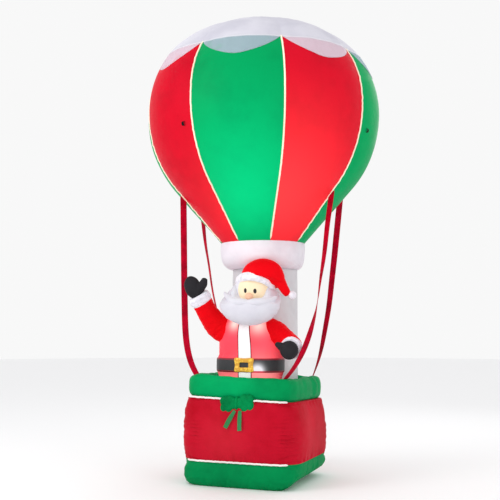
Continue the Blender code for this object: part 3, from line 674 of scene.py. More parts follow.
def swept(stations: Sequence[Sequence[float]], around: int = 32, along: int = 48,
          shift: Optional[Callable[[float, float], float]] = None,
          smooth: bool = True) -> bmesh.types.BMesh:
    """A round tube with rounded ends along a run of stations.

    Args:
        stations: Rows of x, y, z and radius.
        around: Faces round the tube.
        along: Faces along it.
        shift: Gives an outward shift in metres from the share along and the angle.
        smooth: Whether the run is smoothed as a curve, or its stations are taken as they are.

    Returns:
        The closed tube.
    """
    run = Run(stations)
    table = np.array(stations, dtype=float)
    keys = np.linspace(0.0, 1.0, len(table))
    rows = []
    for index in range(along + 1):
        share = index / along
        straight = np.array([np.interp(share, keys, column) for column in table.T])
        rows.append(run.at(share) if smooth else straight)
    frames = []
    side = Vector((0.0, 0.0, 1.0))
    for index in range(along + 1):
        before = Vector(rows[max(0, index - 1)][:3])
        after = Vector(rows[min(along, index + 1)][:3])
        ahead = (after - before).normalized()
        side = side - ahead * side.dot(ahead)
        if side.length < 0.1:
            side = Vector((1.0, 0.0, 0.0)) - ahead * ahead.x
        side.normalize()
        frames.append((side.copy(), ahead.cross(side)))

    def place(u: float, v: float) -> Vector:
        """Point of the tube's skin.

        Args:
            u: Share of the way round or across.
            v: Share of the way along.

        Returns:
            The point in metres.
        """
        index = round(v * along)
        row = rows[index]
        if index in (0, along):
            return Vector(row[:3])
        angle = TURN * u
        reach = row[3] * (END_REACH if index in (1, along - 1) else 1.0)
        if shift is not None:
            reach += shift(v, angle)
        first, second = frames[index]
        return Vector(row[:3]) + (first * math.cos(angle) + second * math.sin(angle)) * reach

    return rolled(around, along, place)


def make_piece(name: str, shape: bmesh.types.BMesh, finishes: Sequence[Finish], slot: Slot,
               nodes: Sequence[str] = ()) -> bpy.types.Object:
    """Make a shown piece from a shape.

    Args:
        name: Name of the piece.
        shape: Its shape, which is freed.
        finishes: Its finishes, in the order of the faces' material numbers.
        slot: The record's material slot; not used.
        nodes: CAD nodes that it stands for.

    Returns:
        The piece, riding on the one body.
    """
    piece = shown(name, shape)
    for finish in finishes:
        piece.data.materials.append(finish.material())
    piece.data.shade_smooth()
    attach(piece, "root")
    if nodes:
        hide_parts(*nodes)
    LOG.info("%s: %d faces", name, len(piece.data.polygons))
    return piece


def pad(name: str, node: str, slot: Slot, shape: bmesh.types.BMesh, *finishes: Finish) -> None:
    """Make a shown piece that is a blown-up chamber and stands for one CAD node."""
    make_piece(name, shape, finishes, slot, (node,))


def walled(piece: bpy.types.Object, thickness: float, offset: float = 0.0) -> None:
    """Give a strip its thickness.

    Args:
        piece: The strip.
        thickness: Thickness of its wall.
        offset: Side of the wall, from -1, inside, to 1, outside.
    """
    wall = piece.modifiers.new("wall", "SOLIDIFY")
    wall.thickness = thickness
    wall.offset = offset


def joined(shapes: Sequence[bmesh.types.BMesh]) -> bmesh.types.BMesh:
    """Several shapes as one, the shapes themselves freed.

    Args:
        shapes: The shapes.

    Returns:
        The one shape.
    """
    whole = bmesh.new()
    for shape in shapes:
        held = bpy.data.meshes.new("part_of_skin")
        shape.to_mesh(held)
        shape.free()
        whole.from_mesh(held)
        bpy.data.meshes.remove(held)
    return whole


def shown(name: str, shape: bmesh.types.BMesh) -> bpy.types.Object:
    """An object in the scene from a shape, which is freed.

    Args:
        name: Name of the object.
        shape: Its shape.

    Returns:
        The object.
    """
    mesh = bpy.data.meshes.new(name)
    shape.to_mesh(mesh)
    shape.free()
    piece = bpy.data.objects.new(name, mesh)
    bpy.context.scene.collection.objects.link(piece)
    return piece


def melded(shapes: Sequence[bmesh.types.BMesh], voxel: float, passes: int) -> bmesh.types.BMesh:
    """Grow several closed shapes into one skin.

    Args:
        shapes: The closed shapes, which are freed.
        voxel: Size of the new skin's faces.
        passes: How often the skin is smoothed.

    Returns:
        One closed skin.
    """
    piece = shown("skin", joined(shapes))
    grown = piece.modifiers.new("grow", "REMESH")
    grown.mode = "VOXEL"
    grown.voxel_size = voxel
    soft = piece.modifiers.new("soft", "SMOOTH")
    soft.factor = 0.5
    soft.iterations = passes
    skin = bmesh.new()
    skin.from_object(piece, bpy.context.evaluated_depsgraph_get())
    bpy.data.objects.remove(piece, do_unlink=True)
    return skin


def blown(shape: bmesh.types.BMesh, held: Callable[[Vector], bool], cap: float = 0.014,
          growth: float = 0.03) -> bmesh.types.BMesh:
    """Blow a closed skin up by cloth simulation, so that it puckers at its held seams.

    The pad swells, so it starts from a slightly smaller shape, eased in from the seams.

    Args:
        shape: The skin.
        held: Tells whether a point of it is sewn fast.
        cap: How far a point may move in metres.
        growth: Share by which the cloth is larger than the skin.

    Returns:
        The same skin, its points moved.
    """
    shape.verts.ensure_lookup_table()
    shape.normal_update()
    fast = [held(spot.co) for spot in shape.verts]
    near = [[edge.other_vert(spot).index for edge in spot.link_edges] for spot in shape.verts]
    ease = [0.0 if sewn else 1.0 for sewn in fast]
    for _ in range(EASE_ROUNDS):
        ease = [
            0.0 if sewn else sum(ease[other] for other in others) / len(others)
            for sewn, others in zip(fast, near)
        ]
    for spot, amount in zip(shape.verts, ease):
        spot.co -= spot.normal * DEFLATION * cap * amount
    starts = [spot.co.copy() for spot in shape.verts]
    skin = shown("air_skin", shape.copy())
    group = skin.vertex_groups.new(name="sewn")
    group.add([index for index, sewn in enumerate(fast) if sewn], 1.0, "REPLACE")
    cloth = skin.modifiers.new("air", "CLOTH")
    for key, value in {
        "quality": 6,
        "mass": 0.2,
        "tension_stiffness": STIFFNESS,
        "compression_stiffness": STIFFNESS,
        "shear_stiffness": STIFFNESS * 0.4,
        "bending_stiffness": 0.15,
        "vertex_group_mass": "sewn",
        "shrink_min": -growth,
        "use_pressure": True,
        "uniform_pressure_force": PRESSURE,
    }.items():
        setattr(cloth.settings, key, value)
    cloth.settings.effector_weights.gravity = 0.0
    cloth.collision_settings.use_collision = False
    for step in range(1, LAST_FRAME + 1):
        bpy.context.scene.frame_set(step)
    done = skin.evaluated_get(bpy.context.evaluated_depsgraph_get()).to_mesh()
    farthest = 0.0
    for spot, start, end in zip(shape.verts, starts, done.vertices):
        move = end.co - start
        farthest = max(farthest, move.length)
        spot.co = start + move.normalized() * (cap * math.tanh(move.length / cap))
    bpy.data.objects.remove(skin, do_unlink=True)
    bpy.context.scene.frame_set(1)
    LOG.info("blown: %d points, farthest %.1f mm", len(starts), farthest * 1000.0)
    return shape


# Envelope


@dataclass
class Envelope:
    """Balloon of eight gores with its piping, snow cap, tether tabs and white collar."""

    basket: "Basket"
    height: float = 3.66
    radius: float = 0.94
    widest: float = 2.887
    crown_power: float = 2.17
    lower_bulge: float = 0.916
    mouth_height: float = 1.862
    mouth_radius: float = 0.335
    gores: int = 8
    gore_turn: float = math.radians(8.0)
    seam_depth: float = 0.026
    cap_thickness: float = 0.012
    cusp_height: float = 3.325
    scallop_height: float = 3.165
    tab_height: float = 2.69
    skirt_bottom: float = 1.655
    skirt_round: float = 0.11
    column_radius: float = 0.262
    column_x: float = -0.005
    column_y: float = 0.062
    piping: float = 0.0068
    neck_steps: int = 60
    lower_steps: int = 100
    crown_steps: int = 300
    arcs: list[float] = field(default_factory=list)
    radii: list[float] = field(default_factory=list)
    heights: list[float] = field(default_factory=list)

    def __post_init__(self) -> None:
        """Measure the profile from mouth to crown."""
        across = self.mouth_radius / self.radius
        down = (self.widest - self.mouth_height) / self.lower_bulge
        start = math.atan2(down, across) - math.acos(min(1.0, 1.0 / math.hypot(across, down)))
        joint = self.lower_point(start)
        points = []
        for index in range(self.neck_steps):
            share = index / self.neck_steps
            points.append((
                self.mouth_radius + (joint[0] - self.mouth_radius) * share,
                self.mouth_height + (joint[1] - self.mouth_height) * share,
            ))
        for index in range(self.lower_steps):
            points.append(self.lower_point(start * (1.0 - index / self.lower_steps)))
        for index in range(self.crown_steps + 1):
            points.append(self.crown_point(math.pi / 2.0 * index / self.crown_steps))
        run = 0.0
        for index, (radius, height) in enumerate(points):
            if index:
                run += math.hypot(radius - self.radii[-1], height - self.heights[-1])
            self.arcs.append(run)
            self.radii.append(radius)
            self.heights.append(height)

    def lower_point(self, turn: float) -> tuple[float, float]:
        """Radius and height under the widest ring at an angle below it."""
        return self.radius * math.cos(turn), self.widest - self.lower_bulge * math.sin(turn)
    def crown_point(self, turn: float, swell: float = 0.0) -> tuple[float, float]:
        """Radius and height on the crown at an angle above the widest ring.

        Args:
            turn: Angle above the widest ring.
            swell: Distance outside the crown.

        Returns:
            Radius and height.
        """
        top = self.height - self.cap_thickness
        radius = (self.radius + swell) * max(0.0, math.cos(turn)) ** (2.0 / self.crown_power)
        rise = (top + swell - self.widest) * math.sin(turn) ** (2.0 / self.crown_power)
        return radius, self.widest + rise

    def crown_turn(self, height: float) -> float:
        """Angle above the widest ring at which the crown has a height."""
        share = (height - self.widest) / (self.height - self.cap_thickness - self.widest)
        return math.asin(min(1.0, share ** (self.crown_power / 2.0)))

    def profile(self, share: float) -> tuple[float, float, float]:
        """Radius, height and run along the profile at a share of its length.

        Args:
            share: Share of the length, from the mouth.

        Returns:
            Radius, height and run.
        """
        run = share * self.arcs[-1]
        return (
            float(np.interp(run, self.arcs, self.radii)),
            float(np.interp(run, self.arcs, self.heights)),
            run,
        )

    def radius_at(self, height: float) -> float:
        """Radius of the envelope at a height."""
        return float(np.interp(height, self.heights, self.radii))

    def gores_round(self, angle: float) -> float:
        """Place round the envelope counted in gores, whole at a seam."""
        return (angle + math.pi / 2.0 - self.gore_turn) / (TURN / self.gores) + 0.5

    def gore_share(self, angle: float) -> float:
        """Place across a gore, from 0 at one seam to 1 at the next."""
        return self.gores_round(angle) % 1.0

    def gore_index(self, angle: float) -> int:
        """Number of the gore at an angle."""
        return math.floor(self.gores_round(angle)) % self.gores

    def lobe(self, angle: float) -> float:
        """Share of the full radius that a gore reaches at an angle."""
        return 1.0 - self.seam_depth * (2.0 * self.gore_share(angle) - 1.0) ** 2

    def seam_heading(self, index: int) -> float:
        """Angle of a seam from -Y towards +X."""
        return self.gore_turn + (index + 0.5) * TURN / self.gores

    def skin_point(self, angle: float, share: float, lift: float = 0.0) -> Vector:
        """Point of the puckered envelope.

        Args:
            angle: Angle round the envelope.
            share: Share of the profile's length.
            lift: Distance outside the cloth.

        Returns:
            The point in metres.
        """
        radius, height, run = self.profile(share)
        ahead = self.profile(min(1.0, share + 0.004))
        behind = self.profile(max(0.0, share - 0.004))
        slope = Vector((ahead[0] - behind[0], ahead[1] - behind[1])).normalized()
        across = self.gore_share(angle)
        seam = min(across, 1.0 - across) * radius * TURN / self.gores
        gore = self.gore_index(angle)
        pull = bell(seam, 0.045)
        pucker = 0.006 * pull * ripple(run, seam, 0.032, 3.1 + gore)
        crease = 0.004 * ripple(run, across, 0.30, 8.7 + gore)
        out = lift + pucker + crease * (1.0 - pull) * min(1.0, radius / 0.4)
        reach = radius * self.lobe(angle) + out * slope.y
        return ring(angle, reach, height - out * slope.x)

    def build_balloon(self) -> None:
        """The envelope, its gores red and green by turns."""
        along = 150

        def place(u: float, row: int) -> Vector:
            """Point of the envelope, closed by a flat disc at its mouth."""
            return self.skin_point(TURN * u + self.gore_turn, (row - 1) / (along - 1.0))

        poles = ((0.0, 0.0, self.mouth_height), (0.0, 0.0, self.heights[-1]))
        shape = capped(256, along, *poles, place)
        for face in shape.faces:
            middle = face.calc_center_median()
            face.material_index = self.gore_index(math.atan2(middle.y, middle.x)) % 2
        green = Taffeta(
            "green_gore", (0.001, 0.29, 0.080), (0.001, 0.235, 0.065), (0.001, 0.80, 0.32),
            (Lamp((0.12, -0.62, 2.45), 0.45, 0.36), Lamp((0.05, -0.45, 2.10), 0.35, 0.26)),
            0.08, 0.40,
        )
        red = Taffeta(
            "red_gore", (0.60, 0.001, 0.018), (0.49, 0.001, 0.015), (1.0, 0.062, 0.055),
            (Lamp((0.34, -0.58, 2.36), 0.50, 0.60), Lamp((0.20, -0.35, 2.10), 0.40, 0.45)),
            0.06, 0.40,
        )
        pad("balloon_cloth", "balloon", Slot.GREEN, shape, green, red)

    def build_piping(self) -> None:
        """Cream corded seams between the gores."""
        low, along = 0.004, 90
        crown = self.neck_steps + self.lower_steps
        top = float(np.interp(self.cusp_height + 0.012, self.heights[crown:], self.arcs[crown:]))
        top /= self.arcs[-1]
        tubes = []
        for seam in range(self.gores):
            angle = self.seam_heading(seam) - math.pi / 2.0
            stations = []
            for index in range(along + 1):
                spot = self.skin_point(angle, low + (top - low) * index / along, 0.0015)
                stations.append((*spot, self.piping))
            tubes.append(swept(stations, 8, along, smooth=False))
        cream = Taffeta(
            "cream_piping", (0.88, 0.80, 0.66), (0.78, 0.66, 0.50), (1.0, 0.85, 0.62),
            (), 0.22, 0.5,
        )
        make_piece("balloon_piping", joined(tubes), (cream,), Slot.WHITE)

    def build_cap(self) -> None:
        """Scalloped sheet that lies on the crown, lowest in the middle of each gore."""
        cusp = self.crown_turn(self.cusp_height)
        scallop = self.crown_turn(self.scallop_height)

        def place(u: float, v: float) -> Vector:
            """Point of the sheet, from its hem to the top.

            Args:
                u: Share of the way round or across.
                v: Share of the way along.

            Returns:
                The point in metres.
            """
            angle = TURN * u + self.gore_turn
            across = self.gore_share(angle)
            drop = math.sin(math.pi * across) ** 0.85
            wave = 0.004 * math.sin(5.0 * math.pi * across + 0.9 * self.gore_index(angle)) * drop
            edge = cusp + (scallop - cusp) * drop - wave
            turn = edge + (math.pi / 2.0 - edge) * v
            puff = 0.0015 + 0.0065 * min(1.0, v * 6.0)
            puff += 0.006 * ripple(across * 0.7, v, 0.09, 5.0 + self.gore_index(angle)) * (1.0 - v)
            radius, height = self.crown_point(turn, max(0.003, puff))
            return ring(angle, radius * self.lobe(angle), height)

        shape = rolled(320, 64, place)
        piece = make_piece("cap_sheet", shape, (CapCloth(),), Slot.WHITE, ("snow_cap",))
        walled(piece, 0.0015, -1.0)

    def build_tabs(self) -> None:
        """Small black webbing loops sewn on the envelope."""
        black = Webbing("black_webbing", (0.015, 0.015, 0.017), 0.003, 0.052)
        for number, degrees in enumerate((-19.5, 81.5, 160.5, 261.5), 1):
            angle = math.radians(degrees) - math.pi / 2.0
            out = Vector((math.cos(angle), math.sin(angle), 0.0))
            side = Vector((-math.sin(angle), math.cos(angle), 0.0))
            reach = self.radius_at(self.tab_height) * self.lobe(angle) - 0.002

            def place(u: float, v: float) -> Vector:
                """Point of the loop of webbing."""
                bend = math.pi * (v - 0.5)
                rise = math.sin(bend) * 0.015
                stand = 0.015 * math.cos(bend) ** 0.8
                middle = out * (reach + stand) + Vector((0.0, 0.0, self.tab_height + rise))
                return middle + side * (u - 0.5) * 0.022

            piece = make_piece(
                f"tether_loop_{number}", strip(4, 16, place), (black,), Slot.BLACK,
                (f"tether_tab_{number}",),
            )
            walled(piece, 0.0016)

    def build_skirt(self) -> None:
        """White collar between the envelope and the air column."""
        along = 56
        fold = 0.55

        def place(u: float, row: int) -> Vector:
            """Point of the collar.

            Args:
                u: Share of the way round.
                row: Number of the row of points.

            Returns:
                The point in metres.
            """
            angle = TURN * u
            share = (row - 1) / (along - 2.0)
            if share < fold:
                bend = math.pi / 2.0 * share / fold
                wider = self.mouth_radius - self.column_radius
                radius = self.column_radius + wider * math.sin(bend)
                height = self.skirt_bottom + self.skirt_round * (1.0 - math.cos(bend))
                middle = 1.0 - math.sin(bend)
            else:
                rise = (share - fold) / 0.45
                radius = self.mouth_radius + 0.004 * math.sin(math.pi * rise)
                height = self.skirt_bottom + self.skirt_round
                height += (self.mouth_height - 0.001 - height) * rise
                middle = 0.0
            seams = bell(share, 0.30) + bell(1.0 - share, 0.16)
            gather = 0.005 * seams * ripple(angle * radius, share * 0.1, 0.026, 2.0)
            reach = radius + gather + 0.003 * ripple(angle, share, 0.5, 6.0)
            return ring(angle, reach, height, self.column_x * middle, self.column_y * middle)

        white = Taffeta(
            "collar_cloth", (0.76, 0.74, 0.80), (0.66, 0.64, 0.70), (0.95, 0.62, 0.66),
            (Lamp((0.0, -0.30, 1.86), 0.16, 0.18),), 0.06, 0.45,
        )
        low = (self.column_x, self.column_y, self.skirt_bottom + 0.004)
        shape = capped(160, along, low, (0.0, 0.0, self.mouth_height - 0.004), place)
        pad("collar_cloth_piece", "balloon_skirt", Slot.WHITE, shape, white)

    def build_column(self) -> None:
        """Pale air column from the basket to the collar."""
        along = 120
        middle = (self.column_x, self.column_y)
        high = self.skirt_bottom - CLEAR

        def place(u: float, row: int) -> Vector:
            """Point of the column.

            Args:
                u: Share of the way round.
                row: Number of the row of points.

            Returns:
                The point in metres.
            """
            angle = TURN * u
            foot = ring(angle, self.column_radius, 0.0, *middle)
            low = self.basket.panel_height(foot.x, foot.y) + CLEAR
            share = (row - 1) / (along - 2.0)
            height = low + (high - low) * share
            seam = abs(((u * 4.0 + 0.22) % 1.0) - 0.5) * 2.0
            pull = bell(1.0 - seam, 0.10)
            tied = ends(share, 0.06)
            reach = self.column_radius - 0.003 * pull
            reach += 0.004 * (pull + 0.12) * ripple(height, seam, 0.040, 4.0)
            reach += 0.004 * tied * ripple(angle * 0.26, height, 0.030, 7.0) - 0.003 * tied
            return ring(angle, reach, height, *middle)

        grey = Taffeta(
            "column_cloth", (0.60, 0.59, 0.61), (0.52, 0.51, 0.54), (0.9, 0.9, 0.92),
            (), 0.05, 0.45,
        )
        poles = ((*middle, self.basket.panel_height(*middle) + CLEAR), (*middle, high))
        shape = capped(144, along, *poles, place)
        pad("column_cloth_piece", "column", Slot.WHITE, shape, grey)

    def build(self) -> None:
        """Every piece of the envelope and the air column under it."""
        self.build_balloon()
        self.build_piping()
        self.build_cap()
        self.build_tabs()
        self.build_skirt()
        self.build_column()


# Basket


def creased(place: Vector, spacing: float, upright: bool, seed: float) -> float:
    """Soft folds in cloth, upright or level, about one spacing apart."""
    level, height = (spacing, 5.0 * spacing) if upright else (5.0 * spacing, spacing)
    return noise.noise(Vector((place.x / level, place.y / level, place.z / height + seed)))


@dataclass
class Basket:
    """Padded basket: green base and rim roll, red body, white pipings and a bow."""

    side: float = 0.80
    x: float = -0.055
    power: float = 7.0
    base_height: float = 0.19
    base_swell: float = 0.030
    base_lift: float = 0.080
    sole_inset: float = 0.020
    sole_slope: float = 1.6
    top: float = 0.6405
    body_swell: float = 0.045
    flank_swell: float = 0.030
    lean_x: float = -0.030
    lean_y: float = -0.027
    rim_width: float = 0.110
    rim_depth: float = 0.1745
    rim_proud: float = 0.006
    rim_power: float = 2.8
    rim_puff: float = 1.09
    piping: float = 0.008
    bow_x: float = -0.039
    bow_width: float = 0.255
    bow_height: float = 0.128
    bow_depth: float = 0.050
    bow_drop: float = 0.022
    tail_width: float = 0.034
    tail_length: float = 0.145
    tail_proud: float = 0.020
    gap: float = 0.0003

    def seam_half(self) -> float:
        """Half of the plan at the seams, in the middle of a side."""
        return self.side / 2.0 / math.cos(math.pi / 4.0) ** (2.0 / self.power)

    def panel_height(self, x: float, y: float) -> float:
        """Height of the leaning top at a place."""
        return self.top + self.lean_x * (x - self.x) + self.lean_y * y

    def plan(self, half: float, heading: float, softer: float = 0.0) -> Vector:
        """Point on the rounded square plan in a direction from its middle.

        Args:
            half: Half of the plan's width.
            heading: Direction from +X.
            softer: How much rounder its corners are.

        Returns:
            The point in metres.
        """
        power = self.power - softer
        cos, sin = math.cos(heading), math.sin(heading)
        reach = half / (abs(cos) ** power + abs(sin) ** power) ** (1.0 / power)
        return Vector((self.x + reach * cos, reach * sin, 0.0))

    def corner_share(self, heading: float) -> float:
        """1 at a corner of the plan, 0 in the middle of a side."""
        return abs(math.sin(2.0 * heading)) ** 6.0

    def flank(self, heading: float) -> float:
        """How far the left and right sides stand out over the base seam."""
        side = clamp((abs(math.cos(heading)) - 0.68) / 0.18)
        return self.flank_swell * side * side * (3.0 - 2.0 * side)

    def rim_line(self) -> float:
        """Half of the plan on the rim roll's middle line."""
        return self.seam_half() + self.rim_proud - self.rim_width / 2.0

    def rim_top(self, x: float, y: float) -> float:
        """Height of the rim roll's crest at a place."""
        return self.panel_height(x, y) + self.gap + self.rim_depth

    def lift(self, heading: float) -> float:
        """Height at which the base's raised side leaves the ground.

        Args:
            heading: Direction from +X.

        Returns:
            The height.
        """
        power = 2.0 / 3.5
        turn = math.atan2(spread(math.sin(heading), power), spread(math.cos(heading), power))
        return self.base_lift * max(0.0, math.cos(turn - math.pi / 12.0)) ** 2

    def pushed(self, point: Vector, fold: float) -> Vector:
        """A point moved away from the basket's middle line."""
        return point + (point - Vector((self.x, 0.0, point.z))).normalized() * fold

    def build_base(self) -> None:
        """Green base band on its flat sole."""
        along, sole = 44, 6
        levels = np.linspace(0.0, 1.0, 200)
        swells = np.interp(levels, (0.0, 0.06, 0.35, 0.75, 1.0), (0.0, 0.3, 1.0, 0.8, 0.0))
        swells = smoothed(swells, 21)
        swells[0], swells[-1] = 0.02, 0.0

        def place(u: float, row: int) -> Vector:
            """Point of the base band.

            Args:
                u: Share of the way round.
                row: Number of the row of points.

            Returns:
                The point in metres.
            """
            heading = TURN * u
            lift = self.lift(heading)
            inner = self.seam_half() - self.sole_inset - self.sole_slope * lift
            if row <= sole:
                return self.plan(inner * (0.5 + 0.5 * row / sole), heading)
            rise = (row - sole) / (along - sole - 2.0)
            if row == along - 1:
                point = self.plan(self.seam_half() - 0.05, heading)
                point.z = self.base_height - self.gap
                return point
            swell = self.base_swell * float(np.interp(rise, levels, swells))
            ease = min(1.0, rise / 0.08)
            wide = self.seam_half() + max(swell, self.flank(heading) * (0.4 + 0.6 * rise))
            half = (inner + 0.012) * (1.0 - ease) + wide * ease
            point = self.plan(half, heading)
            point.z = lift * ease + (self.base_height - self.gap - lift * ease) * rise
            corner = self.corner_share(heading)
            free = math.sin(math.pi * rise)
            fold = 0.010 * ends(rise, 0.16) * creased(point, 0.034, True, 2.0)
            fold *= math.sin(math.pi * min(1.0, rise * 1.02))
            fold += 0.008 * corner * creased(point, 0.030, False, 5.0) * free
            fold += 0.006 * creased(point, 0.11, True, 8.0) * free
            return self.pushed(point, fold)

        def sewn(spot: Vector) -> bool:
            """Whether a point lies on the sole or the top seam."""
            return spot.z < 0.001 or spot.z > self.base_height - 0.0016

        poles = ((self.x, 0.0, 0.0), (self.x, 0.0, self.base_height - self.gap))
        shape = blown(capped(288, along, *poles, place), sewn, cap=0.010)
        green = Taffeta(
            "base_green", (0.001, 0.225, 0.062), (0.001, 0.170, 0.048), (0.001, 0.50, 0.20),
            (), 0.05,
        )
        pad("base_band_cloth", "basket_base", Slot.GREEN, shape, green)

    def build_body(self) -> None:
        """Red body, swollen between its seams, closed on top."""
        along, cap = 84, 3

        def place(u: float, row: int) -> Vector:
            """Point of the body.

            Args:
                u: Share of the way round.
                row: Number of the row of points.

            Returns:
                The point in metres.
            """
            heading = TURN * u
            if row < cap:
                point = self.plan(self.seam_half() * (0.55 + 0.44 * row / cap), heading)
                point.z = self.base_height
                return point
            if row > along - cap - 3:
                inner = (along - row) / (cap + 3.0)
                point = self.plan(self.seam_half() * (0.15 + 0.84 * inner), heading)
                point.z = self.panel_height(point.x, point.y)
                point.z += 0.006 * creased(point, 0.12, True, 3.0) * min(1.0, 3.0 * (1.0 - inner))
                return point
            share = (row - cap) / (along - 2.0 * cap - 3.0)
            middle = math.sin(math.pi * clamp(share))
            swell = self.body_swell * max(0.0, middle) ** 0.8
            swell += self.flank(heading) * max(0.0, 1.0 - share / 0.65) ** 2
            point = self.plan(self.seam_half() + swell, heading, 1.8 * middle)
            ceiling = self.panel_height(point.x, point.y)
            point.z = self.base_height + (ceiling - self.base_height) * share
            corner = self.corner_share(heading)
            edge = min(1.0, min(share, 1.0 - share) / 0.035)
            fold = 0.012 * ends(share, 0.13) * edge * creased(point, 0.040, True, 1.0)
            fold += 0.0085 * corner * middle * creased(point, 0.026, False, 6.0)
            fold += 0.007 * (0.35 + 0.65 * corner) * middle * creased(point, 0.07, False, 9.0)
            fold += 0.010 * middle * creased(point, 0.20, True, 4.0)
            fold += self.fine_creases(point) * middle
            return self.pushed(point, fold)

        # Painted highlights: the two lamps lighten a patch low on the front and the right side, and
        # the base glow lifts the whole body; no lamp is in the basket.
        red = Taffeta(
            "body_red", (0.50, 0.004, 0.020), (0.40, 0.001, 0.010), (0.80, 0.08, 0.11),
            (Lamp((-0.14, -0.50, 0.36), 0.20, 0.14), Lamp((0.46, -0.12, 0.45), 0.22, 0.07)), 0.03,
        )

        def sewn(spot: Vector) -> bool:
            """Whether a point lies on the seams or the panels inside them."""
            ceiling = self.panel_height(spot.x, spot.y)
            return spot.z < self.base_height + 0.0006 or spot.z > ceiling - 0.0008

        poles = ((self.x, 0.0, self.base_height), (self.x, 0.0, self.top))
        shape = blown(capped(288, along, *poles, place), sewn)
        pad("basket_body_cloth", "basket", Slot.CRIMSON, shape, red)

    def fine_creases(self, point: Vector) -> float:
        """Short level creases close together beside the front corners.

        Args:
            point: Point of the body.

        Returns:
            The outward shift.
        """
        if point.y > -0.30:
            return 0.0
        right = bell(point.x, 0.070, 0.345) * bell(point.z, 0.11, 0.39)
        left = bell(point.x, 0.045, -0.37) * bell(point.z, 0.08, 0.41)
        wander = 0.6 * noise.noise(Vector((point.x * 9.0, 0.0, point.z * 7.0)))
        wave = math.sin(TURN * point.z / 0.027 + 3.0 * wander)
        return 0.0085 * (right + left) * (0.6 + 0.8 * abs(wander)) * wave

    def build_rim(self) -> None:
        """Green roll round the top, smooth in front and gathered on its right side."""

        def place(u: float, v: float) -> Vector:
            """Point of the roll.

            Args:
                u: Share of the way round or across.
                v: Share of the way along.

            Returns:
                The point in metres.
            """
            heading = TURN * u
            bend = TURN * v
            out = spread(math.cos(bend), self.rim_power)
            rise = spread(math.sin(bend), self.rim_power)
            point = self.plan(self.rim_line() + out * self.rim_width / 2.0, heading)
            point.z = self.panel_height(point.x, point.y) + self.gap
            point.z += self.rim_depth * self.rim_puff / 2.0 * (1.0 + rise)
            right = max(0.0, math.cos(heading)) * clamp((point.y + 0.30) / 0.35)
            much = 0.20 + 0.80 * max(0.6 * self.corner_share(heading), right)
            much = max(much, 0.9 * max(0.0, -math.cos(bend)))
            upper = 0.5 + 0.5 * math.sin(bend)
            fold = 0.021 * much * creased(point, 0.085, True, 7.0)
            fold += 0.004 * much * creased(point, 0.040, False, 3.0)
            fold += 0.006 * creased(point, 0.15, True, 11.0)
            fold *= 0.35 + 0.65 * upper if rise > -0.92 else 0.0
            away = Vector((out * math.cos(heading), out * math.sin(heading), rise * 0.8))
            return point + away.normalized() * (fold - 0.002 * (1.0 if rise > -0.9 else 0.0))

        def sewn(spot: Vector) -> bool:
            """Whether a point lies on the seam under the roll."""
            return spot.z < self.panel_height(spot.x, spot.y) + 0.003

        shape = blown(rolled(288, 56, place), sewn, cap=0.010)
        # Painted light: the lamp lightens the front of the roll, so its ends stay darker as if
        # shaded.
        green = Taffeta(
            "rim_green", (0.001, 0.30, 0.085), (0.001, 0.225, 0.065), (0.001, 0.70, 0.28),
            (Lamp((-0.12, -0.46, 0.74), 0.24, 0.12),), 0.02,
        )
        pad("rim_roll_cloth", "basket_rim", Slot.GREEN, shape, green)

    def build_pipings(self) -> None:
        """White corded seams along the front, under the rim and over the base."""
        cream = Taffeta("white_piping", (0.86, 0.82, 0.80), (0.72, 0.66, 0.66), (1.0, 0.9, 0.85),
                        (), 0.10, 0.5)
        cords = (("rim_cord", "rim_piping", True), ("base_cord", "base_piping", False))
        for name, node, upper in cords:
            stations = []
            for index in range(61):
                heading = math.radians(-134.4 + 88.8 * index / 60.0)
                point = self.plan(self.seam_half() + 1.4 * self.piping, heading)
                level = self.panel_height(point.x, point.y) + 0.004 if upper else self.base_height
                wave = 0.0016 * math.sin(index * 2.1) * math.sin(index * 0.7)
                stations.append((point.x, point.y, level + wave, self.piping * 0.92))
            shape = swept(stations, 14, 120, smooth=False)
            make_piece(name, shape, (cream,), Slot.WHITE, (node,))

    def build_bow(self) -> None:
        """Puffed bow on the front seam with two flat tails."""
        front = -self.seam_half() - self.rim_proud
        level = self.panel_height(self.bow_x, front) - self.bow_drop - 0.008
        middle = Vector((self.bow_x, front, level))
        knot = (self.bow_width * 0.066, self.bow_depth * 0.80, self.bow_height * 0.43)
        shapes = [ball((middle.x, middle.y, middle.z + 0.006), knot)]
        lobes = (
            (0.028, 0.004, 0.030, 0.046), (0.060, 0.034, 0.038, 0.036),
            (0.062, -0.030, 0.036, 0.038), (0.102, 0.030, 0.036, 0.036),
            (0.104, -0.020, 0.032, 0.038), (0.080, 0.002, 0.040, 0.050),
        )
        for side in (-1, 1):
            for across, rise, wide, tall in lobes:
                spot = middle + Vector((side * across, -0.004, rise + side * across * 0.10))
                halves = (wide, self.bow_depth / 2.0, tall)
                shapes.append(ball(tuple(spot), halves, around=32, along=24))
        green = Taffeta(
            "bow_green", (0.001, 0.27, 0.075), (0.001, 0.13, 0.035), (0.001, 0.6, 0.22), (), 0.02,
        )
        pad("bow_puff", "bow", Slot.GREEN, melded(shapes, 0.0034, 2), green)
        dull = Taffeta(
            "tail_green", (0.055, 0.25, 0.095), (0.030, 0.19, 0.065), (0.1, 0.5, 0.25), (), 0.02,
        )
        for side, node in ((Side.LEFT, "bow_tail_left"), (Side.RIGHT, "bow_tail_right")):
            self.build_tail(side, node, dull)

    def build_tail(self, side: Side, node: str, green: Taffeta) -> None:
        """Flat ribbon end that hangs from the knot.

        Args:
            side: Side of the knot that it hangs on.
            node: Node that it stands for.
            green: Its cloth.
        """
        face = -self.seam_half() - self.body_swell - self.tail_proud
        start = self.panel_height(self.bow_x, face) - self.bow_drop - self.bow_height * 0.42
        splay = math.radians(28.0) if side is Side.LEFT else math.radians(-2.0)
        hinge = Vector((self.bow_x + 0.014 + side.value * self.tail_width * 0.62, face, start))

